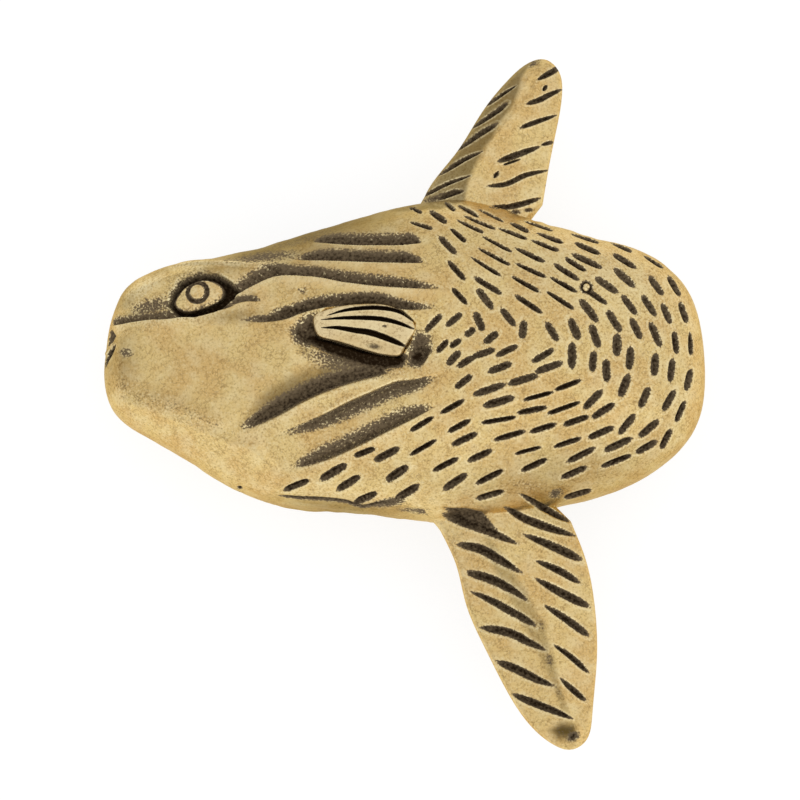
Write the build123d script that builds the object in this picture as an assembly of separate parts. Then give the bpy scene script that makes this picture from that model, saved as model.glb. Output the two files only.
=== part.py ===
from build123d import *
import os
from math import pi, sin

# Brass ocean sunfish figurine: a hollow body in two soldered halves, two blade fins tenoned between
# them, and a pectoral fin, an eye plate and a pupil rivet on each flank.
# It lies on its right flank: +X from snout to tail, +Y from belly to back, +Z out of the left flank.
# Lengths are in millimetres. Every piece is first built about the middle of the body.

# Body
body_length = 45.0
body_height = 24.2
body_thickness = 14.4
wall = 2.0

# Fits
solder_gap = 0.04
fit_gap = 0.05
cut_overrun = 3.0

# Mouth
mouth_depth = 1.0
mouth_opening = 1.7

# Dorsal fin
dorsal_chord = 8.8
dorsal_reach = 11.3

# Anal fin
anal_chord = 9.1
anal_reach = 17.05

# Blades and tenons of both fins
fin_edge_thickness = 1.0
fin_root_thickness = 3.8
fin_tip_thickness = 1.9
tenon_width = 3.4
tenon_thickness = 1.4
tenon_depth = 4.2
tenon_overlap = 0.6
seat_rise = 5.0

# Dowels across the mid-plane
dowel_diameter = 1.6
dowel_length = 6.0
dowel_end_gap = 0.2
boss_diameter = 4.4
boss_rise = 4.6

# Pectoral fins
pectoral_length = 7.3
pectoral_height = 3.9
pectoral_thickness = 1.1
pectoral_relief = 0.12
peg_diameter = 1.6
peg_length = 2.4
peg_boss_diameter = 4.2
peg_boss_depth = 4.6

# Eyes and pupil rivets
eye_length = 3.8
eye_height = 2.2
eye_depth = 0.7
eye_proud = 0.3
socket_width = 0.45
socket_depth = 0.4
eye_dome_radius = 5.0
rivet_diameter = 1.1
rivet_length = 3.2
rivet_proud = 0.3

# Chased relief: folds of head and gill, chisel dashes of the flank, chisel strokes of the fins
fold_width = 0.85
fold_depth = 0.35
dash_width = 0.6
dash_depth = 0.25
stroke_width = 0.65
stroke_depth = 0.25

# Side outline of the body from the snout over the back: share of length, share of height about the middle
body_outline_shares = (
    (0.000, -0.02), (0.009, 0.11), (0.036, 0.222), (0.100, 0.284), (0.226, 0.340), (0.344, 0.404),
    (0.460, 0.468), (0.560, 0.496), (0.690, 0.458), (0.825, 0.384), (0.918, 0.321), (0.972, 0.222),
    (0.997, 0.060), (1.000, -0.060), (0.987, -0.195), (0.940, -0.306), (0.858, -0.399), (0.750, -0.455),
    (0.560, -0.500), (0.409, -0.472), (0.280, -0.445), (0.163, -0.338), (0.075, -0.236), (0.014, -0.150),
)
# Thickest point of the flank, and the rings of the outline, shrunk about it, that carry the surface.
# The smallest ring bounds the dressed flat that the fish lies on.
crest_along_share = 0.56
crest_up_share = -0.01
ring_shares = (1.0, 0.99, 0.96, 0.90, 0.80, 0.66, 0.50, 0.36, 0.25)
flank_power = 2.4

mouth_up_share = 0.045

# Fin outlines from the front of the base: share of chord, share of reach
dorsal_along_share = 0.534
dorsal_up_share = 0.494
dorsal_outline_shares = (
    (0.09, -0.22), (0.00, 0.05), (0.26, 0.35), (0.51, 0.66), (0.73, 0.87), (0.88, 0.97), (1.03, 1.00),
    (1.15, 0.92), (1.18, 0.77), (1.13, 0.52), (1.06, 0.25), (0.99, -0.07), (0.90, -0.27),
)
dorsal_ridge_shares = ((0.37, 0.00), (1.01, 0.93))
anal_along_share = 0.561
anal_up_share = -0.503
anal_outline_shares = (
    (0.09, -0.14), (0.00, 0.01), (0.11, 0.17), (0.20, 0.36), (0.36, 0.56), (0.54, 0.75), (0.77, 0.92),
    (0.92, 0.98), (1.04, 1.00), (1.16, 0.97), (1.23, 0.84), (1.27, 0.59), (1.25, 0.35), (1.18, 0.16),
    (1.08, 0.02), (0.98, -0.10), (0.82, -0.23),
)
anal_ridge_shares = ((0.37, -0.04), (1.08, 0.92))
ridge_length_share = 0.9
ridge_width_share = 0.06

# Pectoral fin outline about its middle: share of length, share of height
pectoral_along_share = 0.432
pectoral_up_share = 0.042
pectoral_outline_shares = (
    (-0.50, 0.02), (-0.44, 0.28), (-0.20, 0.42), (0.08, 0.50), (0.34, 0.36), (0.50, 0.04), (0.42, -0.24),
    (0.32, -0.48), (0.08, -0.46), (-0.20, -0.30), (-0.44, -0.18),
)
hollow_floor_share = 1.08
hollow_rim_share = 1.5
peg_along_share = -0.18

# Eye on the head, how far its axis leans from the mid-plane's normal to the flank's own,
# and its rise towards the tail
eye_along_share = 0.158
eye_up_share = 0.172
eye_lean_share = 0.45
eye_slope_share = 0.36

# The photo looks at the left flank from a little on the belly side, which moves a point up by a share
# of its height. Pixels of the body's middle and of its size
view_lean_share = 0.176
photo_middle_px = (404.5, 361.5)
photo_length_px = 601.0
photo_height_px = 318.5

# Middle lines of the main folds in photo pixels, from head to tail
fold_lines_px = (
    ((305, 235), (345, 239), (378, 239.5), (402, 239), (421, 237)),
    ((290, 254), (329, 254.5), (361, 255.5), (394, 256.5), (427, 257)),
    ((240, 289), (263, 277), (278, 271.5), (296, 271), (320, 273), (345, 277), (411, 283), (450, 285)),
    ((240, 315), (263, 313), (285, 309), (303, 301), (330, 295), (372, 293), (411, 298), (447, 301)),
    ((228, 431), (249, 426), (278, 413), (302, 400), (325, 390), (354, 381), (374, 376)),
    ((265, 444), (289, 433), (325, 419), (349, 405), (394, 384), (426, 382)),
    ((283, 463), (321, 455), (354, 441), (386, 425), (418, 409), (437, 398)),
)
# The deepest chisel dashes in photo pixels, from end to end
dash_ends_px = (
    (439, 236, 456, 254), (477, 288, 493, 309), (501, 308, 515, 326), (524, 320, 522, 339),
    (546, 322, 558, 341), (475, 312, 483, 331), (465, 336, 475, 328), (484, 343, 498, 332),
    (614, 268, 635, 287), (649, 276, 663, 295), (595, 277, 618, 293), (580, 299, 598, 322),
    (622, 295, 637, 315), (642, 295, 656, 316), (662, 303, 671, 324), (680, 302, 687, 323),
    (607, 310, 621, 332), (631, 318, 641, 339), (650, 322, 661, 347), (674, 331, 677, 354),
    (570, 318, 579, 340), (591, 324, 599, 348), (617, 334, 617, 356), (572, 342, 572, 369),
    (594, 351, 592, 372), (606, 359, 607, 382), (631, 346, 629, 370), (656, 353, 654, 376),
    (673, 358, 670, 382), (532, 362, 554, 349), (535, 372, 563, 362), (584, 409, 602, 390),
    (592, 418, 615, 403), (619, 434, 635, 414), (588, 438, 614, 427), (604, 451, 632, 438),
    (620, 397, 629, 374), (640, 408, 649, 387), (663, 411, 675, 390), (686, 391, 691, 369),
    (639, 437, 659, 420), (661, 449, 671, 429), (636, 453, 657, 441), (447, 365, 460, 351),
    (457, 367, 475, 356), (472, 357, 495, 349), (488, 372, 512, 363), (455, 388, 472, 375),
    (473, 395, 505, 384), (508, 384, 538, 375), (483, 406, 515, 397), (452, 445, 477, 433),
    (468, 461, 492, 450), (386, 481, 408, 466), (443, 490, 467, 474), (320, 480, 347, 464),
    (337, 490, 360, 476), (374, 461, 399, 448), (354, 502, 377, 493), (395, 500, 419, 485),
)
# Strokes of the fins in photo pixels, with the pixel of the base and the pixels of chord and reach
dorsal_root_px, dorsal_chord_px, dorsal_reach_px = (425, 202), 117.6, 148.7
dorsal_strokes_px = (
    ((486, 106), (500, 96), (515, 86)),
    ((472, 129), (490, 116), (507, 103)),
    ((459, 150), (477, 137), (497, 124)),
    ((440, 175), (462, 161), (482, 152)),
    ((537, 80), (548, 75), (558, 69)),
    ((527, 104), (544, 98), (560, 91)),
    ((521, 127), (537, 122), (554, 116)),
    ((498, 161), (519, 154), (541, 146)),
    ((487, 186), (516, 180), (545, 171)),
)
anal_root_px, anal_chord_px, anal_reach_px = (441, 520), 121.6, 224.4
anal_strokes_px = (
    ((460, 545), (480, 550), (498, 559), (520, 572)),
    ((468, 573), (490, 579), (510, 589), (527, 600)),
    ((474, 593), (490, 600), (514, 613), (535, 626)),
    ((483, 628), (510, 633), (530, 643), (546, 651)),
    ((499, 662), (516, 669), (536, 679), (553, 686)),
    ((524, 535), (550, 545), (579, 559)),
    ((536, 560), (558, 570), (578, 582)),
    ((536, 578), (560, 592), (587, 606)),
    ((545, 606), (566, 619), (586, 634)),
    ((554, 645), (570, 656), (586, 671)),
)

# Dowels that register the halves at snout and tail
snout_dowel_shares = (0.130, -0.060)
tail_dowel_shares = (0.900, -0.020)


def spot(along_share, up_share):
    """Point of the mid-plane at shares of the body's length and height."""
    return Vector((along_share - 0.5) * body_length, up_share * body_height)


def closed_curve(points):
    """Smooth closed wire through the points."""
    return Wire([Spline(*points, periodic=True)])


def flank_level(ring_share):
    """Share of the full bulge that the flank has reached at a ring."""
    return (1 - ring_share**flank_power) ** (1 / flank_power)


def half_body(length, height, rise):
    """Solid half body on the mid-plane, lofted through rings that shrink to the crest."""
    crest = Vector((crest_along_share - 0.5) * length, crest_up_share * height)
    outline = [Vector((along - 0.5) * length, up * height) for along, up in body_outline_shares]
    rings = []
    for share in ring_shares:
        level = rise * flank_level(share) / flank_level(ring_shares[-1])
        rings.append(closed_curve([crest + (p - crest) * share + Vector(0, 0, level) for p in outline]))
    return Solid.make_loft(rings)


def flank_rise(point):
    """Height of the flank above a point of the mid-plane."""
    crest = spot(crest_along_share, crest_up_share)
    outline = [spot(*shares) - crest for shares in body_outline_shares]
    offset = point - crest
    ring_share = max(
        offset.cross(b - a).Z / a.cross(b - a).Z for a, b in zip(outline, outline[1:] + outline[:1])
        if a.cross(offset).Z * b.cross(offset).Z <= 0 and offset.dot(a + b) > 0
    )
    return body_thickness / 2 * flank_level(min(ring_share, 1))


def from_photo(x_px, y_px):
    """Point of the mid-plane under the spot of the flank that a photo pixel shows."""
    along = (x_px - photo_middle_px[0]) / photo_length_px * body_length
    up = (photo_middle_px[1] - y_px) / photo_height_px * body_height
    point = Vector(along, up)
    for _ in range(4):
        point = Vector(along, up - flank_rise(point) * view_lean_share)
    return point


def lens(points, width):
    """Face along a line, widest at its middle and closed at both ends."""
    edges = []
    for side in (1, -1):
        edge = [points[0]]
        for k in range(1, len(points) - 1):
            run = (points[k + 1] - points[k - 1]).normalized()
            swell = side * width / 2 * sin(pi * k / (len(points) - 1))
            edge.append(points[k] + Vector(-run.Y, run.X) * swell)
        edges.append(Spline(*edge, points[-1]))
    return make_face(edges)


def fin_points(shares, root, chord, reach):
    """Outline shares of a fin as points of the mid-plane."""
    return [root + Vector(along * chord, out * reach) for along, out in shares]


def blade(outline, ridge, inset=0):
    """Diamond-section blade: thin along its outline, thickest along its ridge, thinner to the tip.

    The inset takes its faces down by that much.
    """
    root, tip = ridge
    run = (tip - root).length
    along = (tip - root).normalized()
    across = along.cross(Vector(0, 0, 1))
    half_root = fin_root_thickness / 2 - inset
    half_tip = fin_tip_thickness / 2 - inset
    half_edge = fin_edge_thickness / 2 - inset

    def ridge_ring(side):
        points = []
        for p in outline:
            offset = p - root
            q = root + along * (offset.dot(along) * ridge_length_share)
            q = q + across * (offset.dot(across) * ridge_width_share)
            level = half_root + (half_tip - half_root) * ((q - root).dot(along) / run)
            points.append(q + Vector(0, 0, side * level))
        return closed_curve(points)

    def edge_ring(side):
        return closed_curve([p + Vector(0, 0, side * half_edge) for p in outline])

    return Solid.make_loft([ridge_ring(-1), edge_ring(-1), edge_ring(1), ridge_ring(1)], ruled=True)


def almond(length, height):
    """Pointed oval face made of two equal arcs."""
    ends = (Vector(-length / 2, 0), Vector(length / 2, 0))
    upper = ThreePointArc(ends[0], Vector(0, height / 2), ends[1])
    lower = ThreePointArc(ends[1], Vector(0, -height / 2), ends[0])
    return make_face([upper, lower])


def slab(face, bottom, top):
    """Face of the XY plane as a prism between two levels."""
    return Pos(0, 0, bottom) * extrude(face, top - bottom)


def post(centre, diameter, bottom, top):
    """Upright cylinder between two levels."""
    return Pos(centre.X, centre.Y, bottom) * extrude(Circle(diameter / 2), top - bottom)


def block(centre, width, depth, bottom, top):
    """Upright box between two levels."""
    return Pos(centre.X, centre.Y, bottom) * extrude(Rectangle(width, depth), top - bottom)


half_thickness = body_thickness / 2
outer_half = half_body(body_length, body_height, half_thickness)
cavity = half_body(body_length - 2 * wall, body_height - 2 * wall, half_thickness - wall)
skin_half = half_body(
    body_length + 2 * solder_gap, body_height + 2 * solder_gap, half_thickness + solder_gap
)
skin = skin_half + mirror(skin_half, about=Plane.XY)

# Blade fins: the blade sits on the body as a saddle, and its tenon runs down between the halves.
dorsal_root = spot(dorsal_along_share, dorsal_up_share)
anal_root = spot(anal_along_share, anal_up_share)
dorsal_outline = fin_points(dorsal_outline_shares, dorsal_root, dorsal_chord, dorsal_reach)
dorsal_ridge = fin_points(dorsal_ridge_shares, dorsal_root, dorsal_chord, dorsal_reach)
anal_outline = fin_points(anal_outline_shares, anal_root, anal_chord, -anal_reach)
anal_ridge = fin_points(anal_ridge_shares, anal_root, anal_chord, -anal_reach)

dorsal_along_scale, dorsal_out_scale = dorsal_chord / dorsal_chord_px, dorsal_reach / dorsal_reach_px
anal_along_scale, anal_out_scale = anal_chord / anal_chord_px, anal_reach / anal_reach_px
fin_strokes = []
for lines, root_px, root, along_scale, out_scale in (
    (dorsal_strokes_px, dorsal_root_px, dorsal_root, dorsal_along_scale, dorsal_out_scale),
    (anal_strokes_px, anal_root_px, anal_root, anal_along_scale, anal_out_scale),
):
    strokes = []
    for line in lines:
        offsets = [Vector((x - root_px[0]) * along_scale, (root_px[1] - y) * out_scale) for x, y in line]
        stroke = lens([root + offset for offset in offsets], stroke_width)
        strokes.append(slab(stroke, -fin_root_thickness, fin_root_thickness))
    fin_strokes.append(strokes)

fins = []
seats = []
mortises = []
dowel_spots = [spot(*snout_dowel_shares), spot(*tail_dowel_shares)]
for outline, ridge, inward, strokes in (
    (dorsal_outline, dorsal_ridge, -1, fin_strokes[0]),
    (anal_outline, anal_ridge, 1, fin_strokes[1]),
):
    foot = ridge[0]
    tenon_middle = foot + Vector(0, inward * (tenon_depth - tenon_overlap) / 2)
    tenon = block(
        tenon_middle, tenon_width, tenon_depth + tenon_overlap, -tenon_thickness / 2, tenon_thickness / 2
    )
    dowel_spot = foot + Vector(0, inward * (tenon_depth + wall) / 2)
    dowel_spots.append(dowel_spot)
    hole = post(dowel_spot, dowel_diameter + 2 * fit_gap, -tenon_thickness, tenon_thickness)
    core = blade(outline, ridge, stroke_depth)
    chased = blade(outline, ridge) - [stroke - core for stroke in strokes]
    fins.append(((chased - skin) + tenon - hole).solid())
    seats.append(
        block(
            foot + Vector(0, inward * tenon_depth / 2),
            tenon_width + 2 * wall,
            tenon_depth + 2 * wall,
            0,
            seat_rise,
        )
    )
    mortises.append(
        block(
            tenon_middle,
            tenon_width + 2 * fit_gap,
            tenon_depth + tenon_overlap + 2 * fit_gap,
            -tenon_thickness / 2 - fit_gap,
            tenon_thickness / 2 + fit_gap,
        )
    )
dorsal_fin, anal_fin = fins

# Pectoral fin: a flat paddle on a peg, sunk in a dished hollow so that it stays inside the flank's crest.
pectoral_middle = spot(pectoral_along_share, pectoral_up_share)
pectoral_top = half_thickness - pectoral_relief
hollow_floor = pectoral_top - pectoral_thickness - solder_gap


def pectoral_curve(size_share, level):
    """Outline of the pectoral fin, grown about its middle, at a level."""
    points = []
    for along, up in pectoral_outline_shares:
        offset = Vector(along * pectoral_length, up * pectoral_height) * size_share
        points.append(pectoral_middle + offset + Vector(0, 0, level))
    return closed_curve(points)


peg_spot = pectoral_middle + Vector(peg_along_share * pectoral_length, 0)
paddle = Solid.make_loft(
    [pectoral_curve(1, pectoral_top - pectoral_thickness), pectoral_curve(1, pectoral_top)], ruled=True
)
peg = post(peg_spot, peg_diameter, hollow_floor - peg_length, pectoral_top)
pectoral_fin = (paddle + peg).solid()
hollow = Solid.make_loft(
    [pectoral_curve(hollow_floor_share, hollow_floor), pectoral_curve(hollow_rim_share, half_thickness + wall)],
    ruled=True,
)
peg_hole = post(
    peg_spot, peg_diameter + 2 * fit_gap, hollow_floor - peg_length - fit_gap, half_thickness + cut_overrun
)
peg_boss = post(peg_spot, peg_boss_diameter, half_thickness - peg_boss_depth, half_thickness)

# Eye plate in an almond pocket of the head, held by the pupil rivet.
eye_spot = spot(eye_along_share, eye_up_share)
flank_point, flank_normal = outer_half.find_intersection_points(Axis(eye_spot, (0, 0, 1)))[-1]
eye_axis = (flank_normal * eye_lean_share + Vector(0, 0, 1 - eye_lean_share)).normalized()
eye_place = Plane(flank_point, x_dir=(1, eye_slope_share, 0), z_dir=eye_axis).location

eye_blank = slab(almond(eye_length, eye_height), -eye_depth, eye_proud)
eye_dome = Pos(0, 0, eye_proud - eye_dome_radius) * Sphere(eye_dome_radius)
rivet_hole = post(Vector(0, 0), rivet_diameter + 2 * fit_gap, -rivet_length - cut_overrun, cut_overrun)
eye = eye_place * ((eye_blank & eye_dome) - rivet_hole)
eye_pocket = eye_place * slab(
    almond(eye_length + 2 * fit_gap, eye_height + 2 * fit_gap), -eye_depth - solder_gap, cut_overrun
)
socket = eye_place * slab(
    almond(eye_length + 2 * socket_width, eye_height + 2 * socket_width), -socket_depth, cut_overrun
)
rivet_top = eye_proud + rivet_proud
pupil = eye_place * post(Vector(0, 0), rivet_diameter, rivet_top - rivet_length, rivet_top)

# Mouth: a wedge cut across the snout.
mouth_back = spot(0, mouth_up_share) + Vector(mouth_depth, 0)
mouth_rise = Vector(0, mouth_opening / 2)
mouth_front = mouth_back - Vector(2 * mouth_depth, 0)
mouth_profile = make_face(
    Polyline(mouth_front + mouth_rise * 2, mouth_back, mouth_front - mouth_rise * 2, close=True)
)
mouth = slab(mouth_profile, -half_thickness, half_thickness)

# Folds and dashes: prisms over the flank, down to a floor that follows it.
top = half_thickness + cut_overrun
folds = [slab(lens([from_photo(*p) for p in line], fold_width), 0, top) for line in fold_lines_px]
dashes = []
for x0, y0, x1, y1 in dash_ends_px:
    start, end = from_photo(x0, y0), from_photo(x1, y1)
    run = end - start
    place = Plane((start + end) / 2, x_dir=run, z_dir=(0, 0, 1)).location
    dashes.append(place * slab(almond(run.length, dash_width), 0, top))
chasing = []
for prisms, depth in ((folds, fold_depth), (dashes, dash_depth)):
    floor = half_body(body_length - 2 * depth, body_height - 2 * depth, half_thickness - depth)
    chasing += [prism - floor for prism in prisms]

# Left half: shell, bosses and fin seats, then everything that is let into it.
body_half = outer_half - cavity
for seat in seats:
    body_half = body_half + (seat & outer_half)
for centre in dowel_spots[:2]:
    body_half = body_half + (post(centre, boss_diameter, 0, boss_rise) & outer_half)
body_half = body_half + (peg_boss & outer_half)
for mortise in mortises:
    body_half = body_half - mortise
dowel_depth = dowel_length / 2
for centre in dowel_spots:
    reach = dowel_depth + dowel_end_gap
    body_half = body_half - post(centre, dowel_diameter + 2 * fit_gap, -reach, reach)
for cut in (hollow, peg_hole, socket, eye_pocket, eye_place * rivet_hole, mouth):
    body_half = body_half - cut
body_half = body_half - chasing
body_half = body_half.solid()

dowels = [post(centre, dowel_diameter, -dowel_depth, dowel_depth).solid() for centre in dowel_spots]

nodes = {
    "body_left": body_half,
    "body_right": mirror(body_half, about=Plane.XY),
    "dorsal_fin": dorsal_fin,
    "anal_fin": anal_fin,
    "pectoral_fin_left": pectoral_fin,
    "pectoral_fin_right": mirror(pectoral_fin, about=Plane.XY),
    "eye_left": eye,
    "eye_right": mirror(eye, about=Plane.XY),
    "pupil_left": pupil,
    "pupil_right": mirror(pupil, about=Plane.XY),
    "locating_dowels": Compound(dowels),
}

# The origin goes under the middle of the whole fish, on the surface that it lies on.
box = Compound([piece for shape in nodes.values() for piece in shape.solids()]).bounding_box()
to_rest = Pos(-box.center().X, -box.center().Y, -box.min.Z)

os.makedirs("parts", exist_ok=True)
for name, shape in nodes.items():
    export_step(to_rest * shape, f"parts/{name}.step")
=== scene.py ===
import logging
import math
from dataclasses import dataclass, field
from enum import Enum

import bpy
import numpy as np
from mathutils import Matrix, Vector, noise


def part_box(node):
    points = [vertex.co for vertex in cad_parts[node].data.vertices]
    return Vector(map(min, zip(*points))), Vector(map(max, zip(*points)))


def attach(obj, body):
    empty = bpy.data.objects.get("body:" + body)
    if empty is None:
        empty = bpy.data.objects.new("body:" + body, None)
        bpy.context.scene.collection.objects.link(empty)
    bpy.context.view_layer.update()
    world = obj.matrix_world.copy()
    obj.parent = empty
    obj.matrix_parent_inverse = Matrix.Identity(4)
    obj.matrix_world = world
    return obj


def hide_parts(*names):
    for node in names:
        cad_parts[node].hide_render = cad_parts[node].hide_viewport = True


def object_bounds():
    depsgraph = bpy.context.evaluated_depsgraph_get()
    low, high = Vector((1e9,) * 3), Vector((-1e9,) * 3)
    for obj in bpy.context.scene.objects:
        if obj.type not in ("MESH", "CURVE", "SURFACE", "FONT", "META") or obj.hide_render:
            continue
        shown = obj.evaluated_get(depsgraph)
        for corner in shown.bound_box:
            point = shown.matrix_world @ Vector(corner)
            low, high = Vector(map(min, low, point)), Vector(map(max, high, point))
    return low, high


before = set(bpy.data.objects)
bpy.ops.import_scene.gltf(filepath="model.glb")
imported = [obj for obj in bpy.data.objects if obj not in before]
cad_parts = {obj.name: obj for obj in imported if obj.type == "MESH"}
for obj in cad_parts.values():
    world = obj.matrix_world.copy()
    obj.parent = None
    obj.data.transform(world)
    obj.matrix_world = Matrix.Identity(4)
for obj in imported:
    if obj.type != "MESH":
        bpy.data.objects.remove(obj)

CAD_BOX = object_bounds()
MM = 0.001
MID = 7.2  # height of the seam between the two body halves, in millimetres
CAST_SKIN = ((1.3, 0.012), (0.4, 0.012))  # size and height of the cast skin's swellings, in millimetres
WEAR_REACH = 5  # how many points away the surroundings of a worn edge extend
LOG = logging.getLogger("sunfish")

Array = np.ndarray
Pixels = tuple[tuple[float, float], ...]
Face = tuple[int, ...]


class Side(Enum):
    """Flank of the fish: the value is the sign of its outward Z."""

    LEFT = 1
    RIGHT = -1


def smooth(low: float, high: float, value: Array) -> Array:
    """Smooth step of value from 0 at low to 1 at high."""
    t = np.clip((value - low) / (high - low), 0.0, 1.0)
    return t * t * (3.0 - 2.0 * t)


def through(points: Pixels, per_span: int, closed: bool = False) -> Array:
    """Smooth curve through points.

    Args:
        points: Points that the curve passes.
        per_span: Number of samples between two points.
        closed: Whether the curve returns to its first point.

    Returns:
        Samples along the curve, one per row.
    """
    pts = np.asarray(points, float)
    if closed:
        ring = np.vstack([pts[-1:], pts, pts[:2]])
    else:
        ring = np.vstack([2 * pts[0] - pts[1], pts, 2 * pts[-1] - pts[-2]])
    t = np.linspace(0.0, 1.0, per_span, endpoint=False)[:, None]
    spans = []
    for a, b, c, d in zip(ring[:-3], ring[1:-2], ring[2:-1], ring[3:]):
        bend, twist = 2 * a - 5 * b + 4 * c - d, 3 * b - a - 3 * c + d
        spans.append(0.5 * (2 * b + (c - a) * t + bend * t**2 + twist * t**3))
    curve = np.vstack(spans)
    return curve if closed else np.vstack([curve, pts[-1:]])


def by_length(curve: Array, count: int) -> Array:
    """Points spaced evenly along a polyline, both ends included."""
    run = np.concatenate([[0.0], np.cumsum(np.linalg.norm(np.diff(curve, axis=0), axis=1))])
    at = np.linspace(0.0, run[-1], count)
    return np.stack([np.interp(at, run, curve[:, k]) for k in range(curve.shape[1])], axis=1)


def even_ring(ring: Array, count: int) -> Array:
    """Points spaced evenly around a closed polyline."""
    return by_length(np.vstack([ring, ring[:1]]), count + 1)[:-1]


def mirrored(points: Array) -> Array:
    """Points of the left side carried over to the right side."""
    return points * np.array([1.0, 1.0, -1.0]) + np.array([0.0, 0.0, 2 * MID])


@dataclass(frozen=True)
class PhotoView:
    """How the photograph looks at the fish: scale, tilt towards the belly, and the pixel of its middle."""

    image_px: int = 800
    px_per_mm: float = 13.36
    middle_px: tuple[float, float] = (404.5, 401.0)
    elevation_deg: float = 80.0
    distance_mm: float = 450.0
    sensor_mm: float = 36.0

    def axes(self) -> tuple[Array, Array, Array]:
        """Right, up and backward directions of the view."""
        e = math.radians(self.elevation_deg)
        return (
            np.array([1.0, 0.0, 0.0]),
            np.array([0.0, math.sin(e), math.cos(e)]),
            np.array([0.0, -math.cos(e), math.sin(e)]),
        )

    def target(self) -> Array:
        """Point in millimetres that lies in the middle of the picture."""
        right, up, _ = self.axes()
        half = self.image_px / 2
        shift = right * (half - self.middle_px[0]) + up * (self.middle_px[1] - half)
        return np.array([0.0, 0.0, MID]) + shift / self.px_per_mm

    def project(self, points: Array) -> Array:
        """Pixels of points in millimetres."""
        right, up, back = self.axes()
        rel = points - self.target()
        size = self.px_per_mm * self.distance_mm / (self.distance_mm - rel @ back)
        half = self.image_px / 2
        return np.stack([half + rel @ right * size, half - rel @ up * size], axis=1)

    def on_plane(self, pixels: Array, point: Array, normal: Array) -> Array:
        """Points of a plane that lie behind pixels.

        Args:
            pixels: Pixels, one per row.
            point: A point of the plane in millimetres.
            normal: Normal of the plane.

        Returns:
            Points in millimetres, one per row.
        """
        right, up, back = self.axes()
        px = np.asarray(pixels, float)
        half = self.image_px / 2
        flat = np.outer(px[:, 0] - half, right) + np.outer(half - px[:, 1], up)
        near = self.target() + flat / self.px_per_mm
        eye = self.target() + back * self.distance_mm
        ray = near - eye
        return eye + ray * (((point - eye) @ normal) / (ray @ normal))[:, None]

    def place_camera(self) -> None:
        """Add the camera and make it the scene's own."""
        data = bpy.data.cameras.new("view_camera")
        data.sensor_width = self.sensor_mm
        data.lens = self.sensor_mm * self.distance_mm * self.px_per_mm / self.image_px
        camera = bpy.data.objects.new("view_camera", data)
        bpy.context.scene.collection.objects.link(camera)
        back = Vector(self.axes()[2])
        camera.location = Vector(self.target() * MM) + back * self.distance_mm * MM
        camera.rotation_euler = back.to_track_quat("Z", "Y").to_euler()
        bpy.context.scene.camera = camera


VIEW = PhotoView()


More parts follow.
